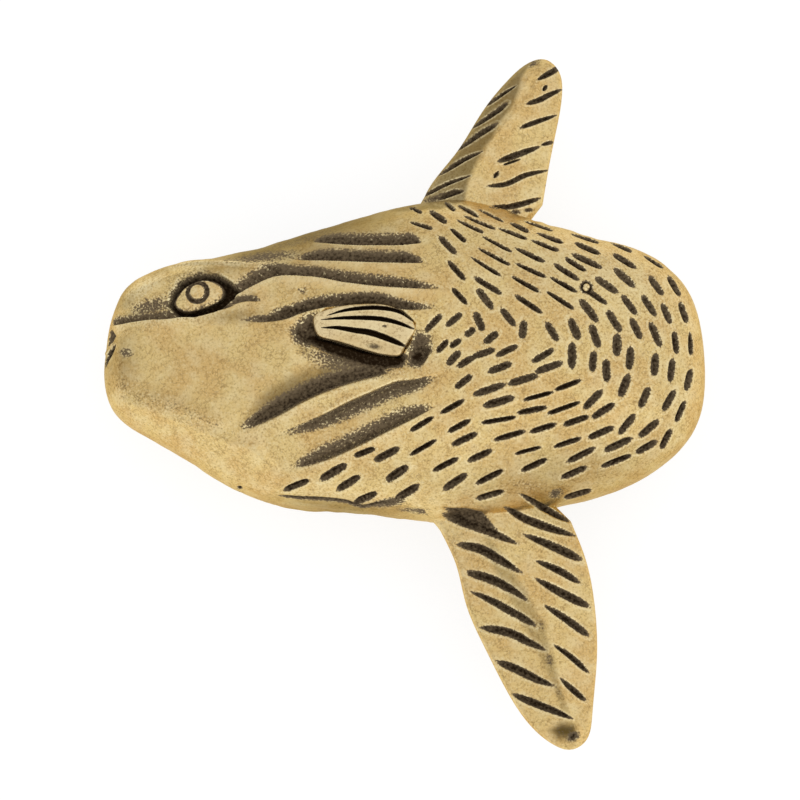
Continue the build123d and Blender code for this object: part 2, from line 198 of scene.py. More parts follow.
class Relief:
    """A chased surface: base points and normals, how far each is cut or raised, and the tones of its skin.

    The tones are the dark patina, the olive tarnish with painted shade, the grit of the cast skin, and the
    wear of the high edges with painted highlights.
    """

    def __init__(self, points: Array, normals: Array) -> None:
        """Take the base surface in millimetres.

        Args:
            points: Base points, one per row.
            normals: Unit outward normals, one per row.
        """
        self.points = points
        self.normals = normals
        self.pixels = VIEW.project(points)
        self.height = np.zeros(len(points))
        self.patina = np.zeros(len(points))
        self.dull = np.zeros(len(points))
        self.grit = np.ones(len(points))
        self.worn = np.zeros(len(points))
        self.facing = normals @ VIEW.axes()[2]
        self.seen = self.facing > 0.02
        self.open = smooth(0.04, 0.26, self.facing)

    def darken(self, where: Array, tone: Array) -> None:
        """Let patina settle at least as deep as tone on the points at the given indices."""
        self.patina[where] = np.maximum(self.patina[where], tone)

    def at(self, pixel: tuple[float, float]) -> Array:
        """Point of the base surface that the camera sees at a pixel."""
        away = np.linalg.norm(self.pixels - np.array(pixel), axis=1)
        return self.points[np.argmin(np.where(self.seen, away, np.inf))]

    def measure(self, path: Array, reach: float) -> tuple[Array, Array, Array]:
        """Where the points near a path lie about it, as the camera sees them.

        Args:
            path: Polyline in photo pixels.
            reach: How far from the path points are looked for, in millimetres.

        Returns:
            Indices of the near points, their signed distance to the left of the path in millimetres, and
            their place along it from 0 to 1.
        """
        path = path / VIEW.px_per_mm
        spots = self.pixels / VIEW.px_per_mm
        low, high = path.min(axis=0) - reach, path.max(axis=0) + reach
        near = np.flatnonzero(np.all((spots > low) & (spots < high), axis=1) & self.seen)
        runs = np.diff(path, axis=0)
        lengths = np.linalg.norm(runs, axis=1)
        starts = np.concatenate([[0.0], np.cumsum(lengths)])
        best = np.full(len(near), np.inf)
        across = np.zeros(len(near))
        along = np.zeros(len(near))
        for a, run, length, start in zip(path[:-1], runs, lengths, starts):
            t = np.clip((spots[near] - a) @ run / (length * length + 1e-12), 0.0, 1.0)
            off = spots[near] - (a + t[:, None] * run)
            dist = np.linalg.norm(off, axis=1)
            nearer = dist < best
            side = np.sign(run[1] * off[:, 0] - run[0] * off[:, 1])
            best = np.where(nearer, dist, best)
            across = np.where(nearer, dist * side, across)
            along = np.where(nearer, (start + t * length) / starts[-1], along)
        keep = best < reach
        return near[keep], across[keep], along[keep]

    def fold(
        self,
        line: Pixels,
        soft: float,
        crisp: float,
        depth: float,
        dark: float,
        lip: float = 0.0,
        taper: tuple[float, float] = (0.25, 0.25),
        grit: float = 1.0,
        shade: float = 0.3,
        climb: float = 1.1,
    ) -> None:
        """Press in a fold: a steep wall on the right of the line, a slow slope on its left, and a raised lip.

        Args:
            line: Points of its edge in photo pixels.
            soft: Width of the slow slope in millimetres.
            crisp: Width of the steep wall in millimetres.
            depth: Depth in millimetres.
            dark: Patina at the bottom.
            lip: Height of the lip beyond the wall in millimetres.
            taper: Shares of its length over which it runs out at the start and at the end.
            grit: Share of the cast grit that is left on the lip.
            shade: Painted shade on the slope around the patina.
            climb: Share of the slope that the patina climbs.
        """
        near, across, along = self.measure(through(line, 8), max(1.7 * soft, crisp + 1.2))
        starts, ends = (max(share, 0.01) for share in taper)
        narrow = np.minimum(smooth(-0.02, starts, along), smooth(-0.02, ends, 1.0 - along))
        slope = np.clip(across / (soft * (0.15 + 0.85 * narrow)), 0.0, 1.7)
        wall = np.clip(-across / crisp, 0.0, 1.0)
        left = across >= 0.0
        cut = np.where(left, np.maximum(1.0 - slope, 0.0) ** 1.4, 1.0 - smooth(0.0, 1.0, wall))
        swell = np.where(left, 0.0, np.exp(-(((-across - crisp) / 0.45) ** 2)) * smooth(0.0, 1.0, wall))
        self.height[near] += (lip * swell - depth * cut) * narrow
        self.worn[near] = np.maximum(self.worn[near], 5.0 * lip * swell * narrow)
        tone = np.where(left, 1.0 - smooth(0.3 * climb, climb, slope), 1.0 - smooth(0.2, 1.0, wall))
        self.darken(near, dark * tone * smooth(0.0, 0.6, narrow))
        # Painted shade: olive on the slow slope beyond the patina.
        slope_shade = np.where(left, shade * (1.0 - smooth(0.7, 1.7, slope)) * narrow, 0.0)
        self.dull[near] = np.maximum(self.dull[near], slope_shade)
        brushed = np.where(left, 1.0, grit + (1.0 - grit) * smooth(0.5, 1.1, -across))
        self.grit[near] = np.minimum(self.grit[near], brushed)

    def stroke(
        self, line: Pixels, width_px: float, depth: float, dark: float, widest: float = 0.5, lean: float = 0.3
    ) -> None:
        """Cut a chisel stroke with rounded ends, or raise a roll for a negative depth.

        Args:
            line: Points of its middle in photo pixels.
            width_px: Greatest width in photo pixels.
            depth: Depth in millimetres.
            dark: Patina at the bottom.
            widest: Share of its length at which it is widest.
            lean: Share of its width that it loses towards the far end.
        """
        half = 0.5 * width_px / VIEW.px_per_mm
        near, across, along = self.measure(through(line, 10), 2.0 * half + 0.1)
        width = half * (1.0 - lean * ((along - widest) / max(widest, 1.0 - widest)) ** 2)
        away = np.sqrt(np.abs(2.0 * along - 1.0) ** 5 + (across / width) ** 2)
        self.height[near] -= depth * (1.0 - smooth(0.3, 1.05, away)) * self.open[near]
        soft = 0.12 + 0.03 / width
        # Patina gathers deeper in the middle, and as painted shade towards the left wall.
        core_and_wall_shade = 1.0 + 0.35 * (1.0 - smooth(0.15, 0.75, np.sqrt(away**2 + 0.5 * (across / width - 0.3) ** 2)))
        self.darken(near, dark * core_and_wall_shade * (1.0 - smooth(0.97 - soft, 0.97 + soft, away)) * self.open[near])
        if depth > 0.0:
            # A raised burr rubbed bright, and as painted highlight brighter on the right of the stroke.
            burr = np.exp(-(((away - 1.35) / 0.25) ** 2)) * np.where(across < 0.0, 0.75, 0.4)
            burr = burr * smooth(0.25, 0.7, self.facing[near])
            self.height[near] += 0.03 * burr
            self.worn[near] = np.maximum(self.worn[near], burr)

    def area(
        self,
        edge: Pixels,
        soft_px: float,
        lift: float = 0.0,
        dark: float = 0.0,
        flatten: float = 0.0,
        dull: float = 0.0,
        grit: float = 1.0,
    ) -> None:
        """Raise, sink, flatten or darken a region with soft borders.

        Args:
            edge: Corners of the region in photo pixels.
            soft_px: Width over which it sets in, inside its border, in pixels.
            lift: Height in millimetres, negative to sink it.
            dark: Patina of the region.
            flatten: Share by which its surface is drawn to one plane.
            dull: Tarnish and painted shade of the region.
            grit: Share of the cast grit that the brush has left.
        """
        corners = np.asarray(edge, float)
        p = self.pixels
        inside = np.zeros(len(p), bool)
        near = np.full(len(p), np.inf)
        for a, b in zip(corners, np.roll(corners, -1, axis=0)):
            crosses = (a[1] > p[:, 1]) != (b[1] > p[:, 1])
            x = a[0] + (p[:, 1] - a[1]) * (b[0] - a[0]) / (b[1] - a[1] + 1e-9)
            inside ^= crosses & (p[:, 0] < x)
            t = np.clip((p - a) @ (b - a) / ((b - a) @ (b - a)), 0.0, 1.0)
            near = np.minimum(near, np.linalg.norm(p - a - t[:, None] * (b - a), axis=1))
        share = smooth(0.0, soft_px, np.where(inside, near, 0.0))
        self.height += lift * share * self.open
        self.patina = np.maximum(self.patina, dark * share * self.open)
        self.dull = np.maximum(self.dull, dull * share)
        self.grit = np.minimum(self.grit, 1.0 - (1.0 - grit) * share)
        if flatten > 0.0:
            base = self.points[inside]
            spots = np.column_stack([base[:, :2], np.ones(len(base))])
            plane, *_ = np.linalg.lstsq(spots, base[:, 2], rcond=None)
            off = self.points[:, :2] @ plane[:2] + plane[2] - self.points[:, 2]
            self.height += flatten * share * np.clip(off, -0.6, 0.6) * self.normals[:, 2]

    def patch(
        self,
        middle: tuple[float, float],
        radii: tuple[float, float],
        turn: float = 0.0,
        lift: float = 0.0,
        dark: float = 0.0,
        dull: float = 0.0,
        painted_highlight: float = 0.0,
    ) -> None:
        """Raise or sink a soft oval, lay patina, tarnish or painted shade on it, or give it a painted
        highlight.

        Args:
            middle: Middle of the oval in photo pixels.
            radii: Half length and half height in pixels.
            turn: Anticlockwise turn of the oval in degrees.
            lift: Height of its middle in millimetres, negative to sink it.
            dark: Patina at its middle.
            dull: Tarnish and painted shade at its middle.
            painted_highlight: Painted highlight at its middle.
        """
        rel = self.pixels - np.array(middle)
        a = math.radians(turn)
        u = (rel[:, 0] * math.cos(a) - rel[:, 1] * math.sin(a)) / radii[0]
        v = (rel[:, 0] * math.sin(a) + rel[:, 1] * math.cos(a)) / radii[1]
        fall = 1.0 - smooth(0.0, 1.0, np.sqrt(u * u + v * v))
        self.height += lift * fall * self.open
        self.patina = np.maximum(self.patina, dark * fall * self.open)
        self.dull = np.maximum(self.dull, dull * fall)
        self.worn = np.maximum(self.worn, painted_highlight * fall)

    def bead(self, middle: tuple[float, float], radius_px: float, lift: float) -> None:
        """Leave a bright casting bead standing.

        Args:
            middle: Middle of the bead in photo pixels.
            radius_px: Its radius in pixels.
            lift: Its height in millimetres.
        """
        away = np.linalg.norm(self.pixels - np.array(middle), axis=1) / radius_px
        self.height += lift * np.sqrt(np.clip(1.0 - away * away, 0.0, 1.0))
        self.patina *= smooth(0.75, 1.05, away)
        self.worn = np.maximum(self.worn, 1.0 - smooth(0.6, 1.0, away))

    def roughen(self, size_mm: float, lift: float) -> None:
        """Give the cast skin its slight unevenness.

        Args:
            size_mm: Size of the swellings in millimetres.
            lift: Their height in millimetres.
        """
        self.height += lift * np.array([noise.noise(Vector(p)) for p in self.points / size_mm])

    def wear(self, rows: int, columns: int, reach: int, full_mm: float) -> None:
        """Rub the edges bright that stand above their surroundings.

        Args:
            rows: Rows of the grid that the points form.
            columns: Columns of the grid.
            reach: How many points away the surroundings extend.
            full_mm: Height above them that is rubbed quite bright.
        """
        around = self.height.reshape(rows, columns)
        window = np.hanning(2 * reach + 3)[1:-1]
        for axis in (0, 1):
            pad = [(reach, reach) if k == axis else (0, 0) for k in (0, 1)]
            wide = np.pad(around, pad, mode="edge")
            around = np.apply_along_axis(np.convolve, axis, wide, window / window.sum(), mode="valid")
        self.worn = np.maximum(self.worn, smooth(0.15 * full_mm, full_mm, self.height - around.ravel()))

    def tones(self) -> dict[str, Array]:
        """Tones of the skin by name."""
        return {"patina": self.patina, "dull": self.dull, "grit": self.grit, "worn": self.worn}

    def surface(self) -> Array:
        """Chased points in millimetres."""
        return self.points + self.normals * self.height[:, None]


def grid_faces(rows: int, columns: int, flip: bool = False) -> list[Face]:
    """Quads of a grid of points stored row by row."""
    index = np.arange(rows * columns).reshape(rows, columns)
    corners = index[:-1, :-1], index[:-1, 1:], index[1:, 1:], index[1:, :-1]
    quads = np.stack(corners, axis=-1).reshape(-1, 4).tolist()
    return [tuple(q[::-1]) if flip else tuple(q) for q in quads]


def grid_rim(rows: int, columns: int) -> Array:
    """Indices of the border of a grid, in order around it."""
    index = np.arange(rows * columns).reshape(rows, columns)
    return np.concatenate([index[0, :-1], index[:-1, -1], index[-1, :0:-1], index[:0:-1, 0]])


def skirted_grid(size: int) -> tuple[list[Face], Array]:
    """Faces of a square grid with a skirt of one more ring of points, closed below.

    Args:
        size: Points along each side of the grid.

    Returns:
        The faces, and the indices of the border that the skirt hangs from.
    """
    rim = grid_rim(size, size)
    count, around = size * size, len(rim)
    faces = grid_faces(size, size)
    for k in range(around):
        after = (k + 1) % around
        faces.append((int(rim[after]), int(rim[k]), count + k, count + after))
    faces.append(tuple(range(count, count + around))[::-1])
    return faces, rim


def grid_normals(points: Array, rows: int, columns: int) -> Array:
    """Unit normals of a grid of points stored row by row, on the side of +Z."""
    p = points.reshape(rows, columns, 3)
    n = np.cross(np.gradient(p, axis=1), np.gradient(p, axis=0)).reshape(-1, 3)
    n = n / (np.linalg.norm(n, axis=1, keepdims=True) + 1e-12)
    return -n if n[:, 2].mean() < 0.0 else n


def disc_grid(rows: int, columns: int) -> tuple[Array, Array]:
    """Grid bent to a disc without a pole.

    Args:
        rows: Points along its right and left side.
        columns: Points along its top and bottom.

    Returns:
        Radius from 0 to 1 and turn from 0 to 1 of each point, row by row.
    """
    b, a = np.meshgrid(np.linspace(-1.0, 1.0, rows), np.linspace(-1.0, 1.0, columns), indexing="ij")
    wide = np.abs(a) >= np.abs(b)
    safe_a = np.where(np.abs(a) < 1e-9, 1e-9, a)
    safe_b = np.where(np.abs(b) < 1e-9, 1e-9, b)
    side = 0.25 * rows / (rows + columns)
    turn = np.where(
        wide,
        np.where(a >= 0, 0.0, 0.5) + side * b / safe_a,
        np.where(b >= 0, 0.25, 0.75) - (0.25 - side) * a / safe_b,
    )
    return np.maximum(np.abs(a), np.abs(b)).ravel(), turn.ravel() % 1.0


def closed_at(curve: Array, turn: Array) -> Array:
    """Points of a closed, evenly sampled curve at turns from 0 to 1."""
    count = len(curve)
    at = turn * count
    low = np.floor(at).astype(int)
    part = (at - low)[:, None]
    return curve[low % count] * (1.0 - part) + curve[(low + 1) % count] * part


def make_piece(
    name: str,
    node: str,
    slot: str,
    points: Array,
    faces: list[Face],
    tones: dict[str, Array],
    material: bpy.types.Material,
    side: Side = Side.LEFT,
    crease_deg: float = 70.0,
) -> bpy.types.Object:
    """Make a mesh piece that rides on the fish in place of a CAD node.

    Args:
        name: Name of the piece.
        node: CAD node that it replaces.
        slot: Name of a material slot; not used.
        points: Points in millimetres, as they lie on the left side.
        faces: Faces as tuples of point indices.
        tones: Patina, tarnish with painted shade, grit, and wear with painted highlights of each point, by
            name.
        material: Finish of the piece.
        side: Flank that the piece is for.
        crease_deg: Angle above which an edge stays sharp.

    Returns:
        The new object.
    """
    if side is Side.RIGHT:
        points, faces = mirrored(points), [f[::-1] for f in faces]
    mesh = bpy.data.meshes.new(name)
    mesh.from_pydata((points * MM).tolist(), [], faces)
    for tone, values in tones.items():
        layer = mesh.attributes.new(tone, "FLOAT", "POINT")
        layer.data.foreach_set("value", values.astype(np.float32))
    mesh.materials.append(material)
    mesh.validate()
    mesh.shade_smooth()
    mesh.set_sharp_from_angle(angle=math.radians(crease_deg))
    piece = bpy.data.objects.new(name, mesh)
    bpy.context.scene.collection.objects.link(piece)
    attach(piece, "root")
    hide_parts(node)
    return piece


def node_points(node: str) -> Array:
    """Points of a CAD node in millimetres."""
    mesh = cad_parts[node].data
    flat = np.empty(len(mesh.vertices) * 3)
    mesh.vertices.foreach_get("co", flat)
    return flat.reshape(-1, 3) / MM


def node_edges(node: str) -> Array:
    """Point index pairs of a CAD node's edges."""
    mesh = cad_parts[node].data
    flat = np.empty(len(mesh.edges) * 2, np.int32)
    mesh.edges.foreach_get("vertices", flat)
    return flat.reshape(-1, 2)


def linear(colour: str) -> tuple[float, float, float, float]:
    """Linear colour of an sRGB hex value such as #D4B780."""
    parts = [int(colour[i : i + 2], 16) / 255.0 for i in (1, 3, 5)]
    return (*(c / 12.92 if c <= 0.04045 else ((c + 0.055) / 1.055) ** 2.4 for c in parts), 1.0)


def add_node(
    tree: bpy.types.NodeTree,
    kind: str,
    inputs: dict[str | int, object],
    output: str | int = 0,
    **settings: object,
) -> bpy.types.NodeSocket | None:
    """Add a shader node.

    Args:
        tree: Tree that the node joins.
        kind: Type of the node, without its ShaderNode prefix.
        inputs: Values, hex colours or output sockets, by input name or number.
        output: Name or number of the wanted output.
        settings: Properties to set on the node.

    Returns:
        The wanted output socket, or None for an output node.
    """
    node = tree.nodes.new("ShaderNode" + kind)
    for name, value in settings.items():
        setattr(node, name, value)
    for key, value in inputs.items():
        if isinstance(value, bpy.types.NodeSocket):
            tree.links.new(value, node.inputs[key])
        else:
            node.inputs[key].default_value = linear(value) if isinstance(value, str) else value
    return node.outputs[output] if len(node.outputs) else None


@dataclass(frozen=True)
class CastBrass:
    """Sand-cast yellow brass, brushed bright on the high spots and darkened in the recesses.

    The cast skin gives a fine grain and a satin sheen. Faces that the brush has not reached stay olive and
    tarnished, and olive is also painted as shade on faces turned from the light. Edges are rubbed bright,
    with painted highlights added. The dark sulphide patina lies in the recesses and breaks up into specks at
    its edges.
    """

    name: str
    bright: str = "#E8CC8B"
    warm: str = "#DFBC7B"
    pale: str = "#F9E9BA"
    pit: str = "#8A683A"
    olive: str = "#66532C"
    dust: str = "#796952"
    dark: str = "#26190D"
    # Brass keeps a little of its colour in grazing light.
    edge: str = "#F1E2BE"
    # The sand grain is about 0.1 mm, which is too fine to show, so it is drawn a little coarser.
    grain_mm: float = 0.16
    speck_mm: float = 0.22
    vein_mm: float = 0.5
    cloud_mm: float = 1.3
    mottle_mm: float = 3.0
    roughness: float = 0.42
    bump_mm: float = 0.025

    def build(self) -> bpy.types.Material:
        """Make the material."""
        material = bpy.data.materials.new(self.name)
        material.use_nodes = True
        tree = material.node_tree
        tree.nodes.clear()
        place = add_node(tree, "TexCoord", {}, "Object")
        settled, dull, grit, worn = (
            add_node(tree, "Attribute", {}, "Fac", attribute_name=tone)
            for tone in ("patina", "dull", "grit", "worn")
        )
        grain, speck, vein, cloud, mottle = (
            add_node(tree, "TexNoise", {"Vector": place, "Scale": 1.0 / (size * MM), "Detail": 2.5}, "Fac")
            for size in (self.grain_mm, self.speck_mm, self.vein_mm, self.cloud_mm, self.mottle_mm)
        )
        step = {"interpolation_type": "SMOOTHSTEP"}
        colours = {"data_type": "RGBA"}
        grain = add_node(tree, "Mix", {0: grit, 2: 0.5, 3: grain}, 0, data_type="FLOAT")
        blotched = add_node(tree, "MapRange", {0: settled, 2: 0.5, 3: 0.35, 4: 1.0})
        crest = add_node(tree, "Math", {0: vein, 1: 0.5}, operation="PINGPONG")
        wrinkled = add_node(tree, "MapRange", {0: cloud, 1: 0.42, 2: 0.6, 3: 0.08, 4: 0.4}, **step)
        # Bare brass: slow changes of warmth, pale brushed spots, thin cast wrinkles and small pits.
        layers = (
            (self.bright, {0: mottle, 1: 0.35, 2: 0.65}),
            (self.pale, {0: cloud, 1: 0.55, 2: 0.3, 4: 0.32}),
            (self.pale, {0: grain, 1: 0.5, 2: 0.3, 4: blotched}),
            (self.pit, {0: crest, 1: 0.455, 2: 0.495, 4: wrinkled}),
            (self.pit, {0: grain, 1: 0.52, 2: 0.76, 4: 0.55}),
            (self.pit, {0: speck, 1: 0.52, 2: 0.75, 4: 0.35}),
        )
        brass = self.warm
        for tint, limits in layers:
            share = add_node(tree, "MapRange", limits, **step)
            brass = add_node(tree, "Mix", {0: share, 6: brass, 7: tint}, 2, **colours)
        # Tarnish that the brush has not reached with painted shade, then edges rubbed bright with painted
        # highlights.
        brass = add_node(tree, "Mix", {0: dull, 6: brass, 7: self.olive}, 2, **colours)
        share = add_node(tree, "MapRange", {0: grain, 1: 0.65, 2: 0.4, 3: 0.2, 4: 0.8}, **step)
        share = add_node(tree, "Math", {0: worn, 1: share}, operation="MULTIPLY")
        brass = add_node(tree, "Mix", {0: share, 6: brass, 7: self.pale}, 2, **colours)
        # Patina: specks that close up to grey-brown dust, and to black where it is deep.
        uneven = add_node(tree, "MapRange", {0: settled, 2: 0.4, 4: 2.4})
        level = add_node(tree, "Math", {0: grain, 1: 0.5}, operation="SUBTRACT")
        level = add_node(tree, "Math", {0: level, 1: uneven, 2: settled}, operation="MULTIPLY_ADD")
        deep = add_node(tree, "Math", {0: speck, 1: 1.5, 2: settled}, operation="MULTIPLY_ADD")
        covered = add_node(tree, "MapRange", {0: level, 1: 0.15, 2: 0.6}, **step)
        colour = add_node(tree, "Mix", {0: covered, 6: brass, 7: self.dust}, 2, **colours)
        share = add_node(tree, "MapRange", {0: deep, 1: 1.25, 2: 2.2}, **step)
        colour = add_node(tree, "Mix", {0: share, 6: colour, 7: self.dark}, 2, **colours)
        rough = add_node(tree, "MapRange", {0: covered, 3: self.roughness - 0.08, 4: 0.66})
        rough = add_node(tree, "Math", {0: speck, 1: 0.16, 2: rough}, operation="MULTIPLY_ADD")
        metal = add_node(tree, "MapRange", {0: covered, 3: 1.0, 4: 0.5})
        sheen = add_node(tree, "MapRange", {0: covered, 3: 0.5, 4: 0.12})
        height = add_node(tree, "Math", {0: speck, 1: 0.6, 2: grain}, operation="MULTIPLY_ADD")
        bump = add_node(tree, "Bump", {"Height": height, "Strength": 0.7, "Distance": self.bump_mm * MM})
        looks = {"Base Color": colour, "Specular Tint": self.edge, "Roughness": rough, "Metallic": metal}
        looks |= {"Specular IOR Level": sheen, "Normal": bump}
        add_node(tree, "OutputMaterial", {"Surface": add_node(tree, "BsdfPrincipled", looks)})
        return material


# Chisel dashes of the flank as struck: start, end and width in photo pixels.
DASHES: tuple[tuple[float, float, float, float, float], ...] = (
    (409, 206, 422, 213, 4), (410, 222, 433, 229, 4), (430, 211, 447, 223, 6.3), (445, 202, 455, 211, 4),
    (458, 205, 479, 217, 4), (464, 216, 495, 229, 3.6), (457, 220, 484, 233, 3.8),
    (478, 209, 504, 222, 2.8), (450, 228, 466, 242, 5), (439, 236, 456, 254, 7), (448, 261, 465, 280, 5.8),
    (452, 288, 467, 304, 5.8), (482, 236, 512, 252, 3.8), (478, 248, 510, 265, 4.2),
    (471, 257, 501, 276, 4.2), (474, 277, 502, 294, 6.2), (477, 288, 493, 309, 8), (498, 228, 527, 239, 4),
    (510, 223, 529, 232, 4.6), (524, 221, 553, 231, 3), (531, 240, 559, 251, 4.6),
    (537, 233, 563, 243, 4.6), (515, 248, 545, 262, 5.2), (515, 263, 546, 277, 4.8),
    (511, 276, 540, 292, 5), (515, 295, 542, 313, 5.7), (501, 308, 515, 326, 7.2),
    (524, 320, 522, 339, 8.5), (546, 322, 558, 341, 7.9), (475, 312, 483, 331, 8.5),
    (446, 326, 462, 313, 6.9), (425, 331, 442, 314, 6.9), (465, 336, 475, 328, 7.4),
    (484, 343, 498, 332, 8.4), (571, 234, 599, 243, 3.4), (575, 243, 600, 254, 5.5),
    (572, 254, 602, 268, 6.2), (565, 258, 586, 271, 5.5), (554, 264, 579, 280, 5.8),
    (550, 277, 577, 292, 5), (546, 291, 574, 309, 5), (610, 242, 632, 252, 4), (613, 254, 636, 268, 6),
    (614, 268, 635, 287, 8), (644, 256, 663, 268, 3.6), (649, 276, 663, 295, 7.3), (668, 276, 680, 296, 6),
    (595, 277, 618, 293, 7.9), (580, 285, 607, 304, 6), (580, 299, 598, 322, 8.5),
    (622, 295, 637, 315, 7.3), (642, 295, 656, 316, 7.3), (662, 303, 671, 324, 7.3),
    (680, 302, 687, 323, 6.7), (607, 310, 621, 332, 7.9), (631, 318, 641, 339, 7.9),
    (650, 322, 661, 347, 7.9), (674, 331, 677, 354, 6.7), (690, 332, 691, 355, 5), (570, 318, 579, 340, 9),
    (591, 324, 599, 348, 8.5), (617, 334, 617, 356, 9.7), (572, 342, 572, 369, 9), (594, 351, 592, 372, 8),
    (606, 359, 607, 382, 8.5), (631, 346, 629, 370, 8.5), (656, 353, 654, 376, 8.5),
    (673, 358, 670, 382, 7.5), (532, 362, 554, 349, 7), (535, 372, 563, 362, 8), (555, 390, 581, 380, 5.4),
    (523, 400, 553, 392, 4.6), (584, 409, 602, 390, 8), (547, 414, 580, 402, 5), (592, 418, 615, 403, 7.5),
    (563, 425, 589, 416, 6.5), (530, 432, 556, 424, 6), (619, 434, 635, 414, 7.5), (588, 438, 614, 427, 7),
    (554, 447, 581, 438, 5), (604, 451, 632, 438, 7.5), (567, 462, 595, 448, 6.5), (620, 397, 629, 374, 9),
    (640, 408, 649, 387, 8), (663, 411, 675, 390, 7.5), (686, 391, 691, 369, 7), (676, 422, 685, 401, 6),
    (639, 437, 659, 420, 7.5), (661, 449, 671, 429, 6.5), (636, 453, 657, 441, 7),
    (601, 467, 631, 455, 5.6), (561, 478, 587, 467, 6.5), (564, 498, 591, 490, 6), (419, 365, 430, 346, 7),
    (437, 352, 448, 340, 6.7), (450, 347, 461, 339, 6.5), (447, 365, 460, 351, 8),
    (457, 367, 475, 356, 7.3), (472, 357, 495, 349, 7.3), (496, 356, 518, 345, 6.7),
    (488, 372, 512, 363, 8), (455, 388, 472, 375, 7.3), (473, 395, 505, 384, 8), (508, 384, 538, 375, 8),
    (483, 406, 515, 397, 8.5), (441, 413, 464, 400, 5.8), (517, 413, 547, 407, 6), (481, 423, 516, 417, 5),
    (410, 431, 433, 417, 5.8), (448, 432, 470, 420, 6.3), (494, 440, 525, 431, 5.8),
    (452, 445, 477, 433, 7), (410, 455, 436, 440, 5), (515, 454, 541, 447, 4), (468, 461, 492, 450, 6.7),
    (433, 471, 458, 458, 6), (521, 471, 547, 459, 6), (386, 481, 408, 466, 9), (443, 490, 467, 474, 8),
    (476, 484, 503, 470, 6), (395, 500, 419, 485, 8.5), (476, 499, 504, 491, 6), (284, 490, 309, 480, 6.5),
    (320, 480, 347, 464, 9), (337, 490, 360, 476, 8), (354, 456, 375, 448, 6.5), (374, 461, 399, 448, 8),
    (354, 502, 377, 493, 7),
)


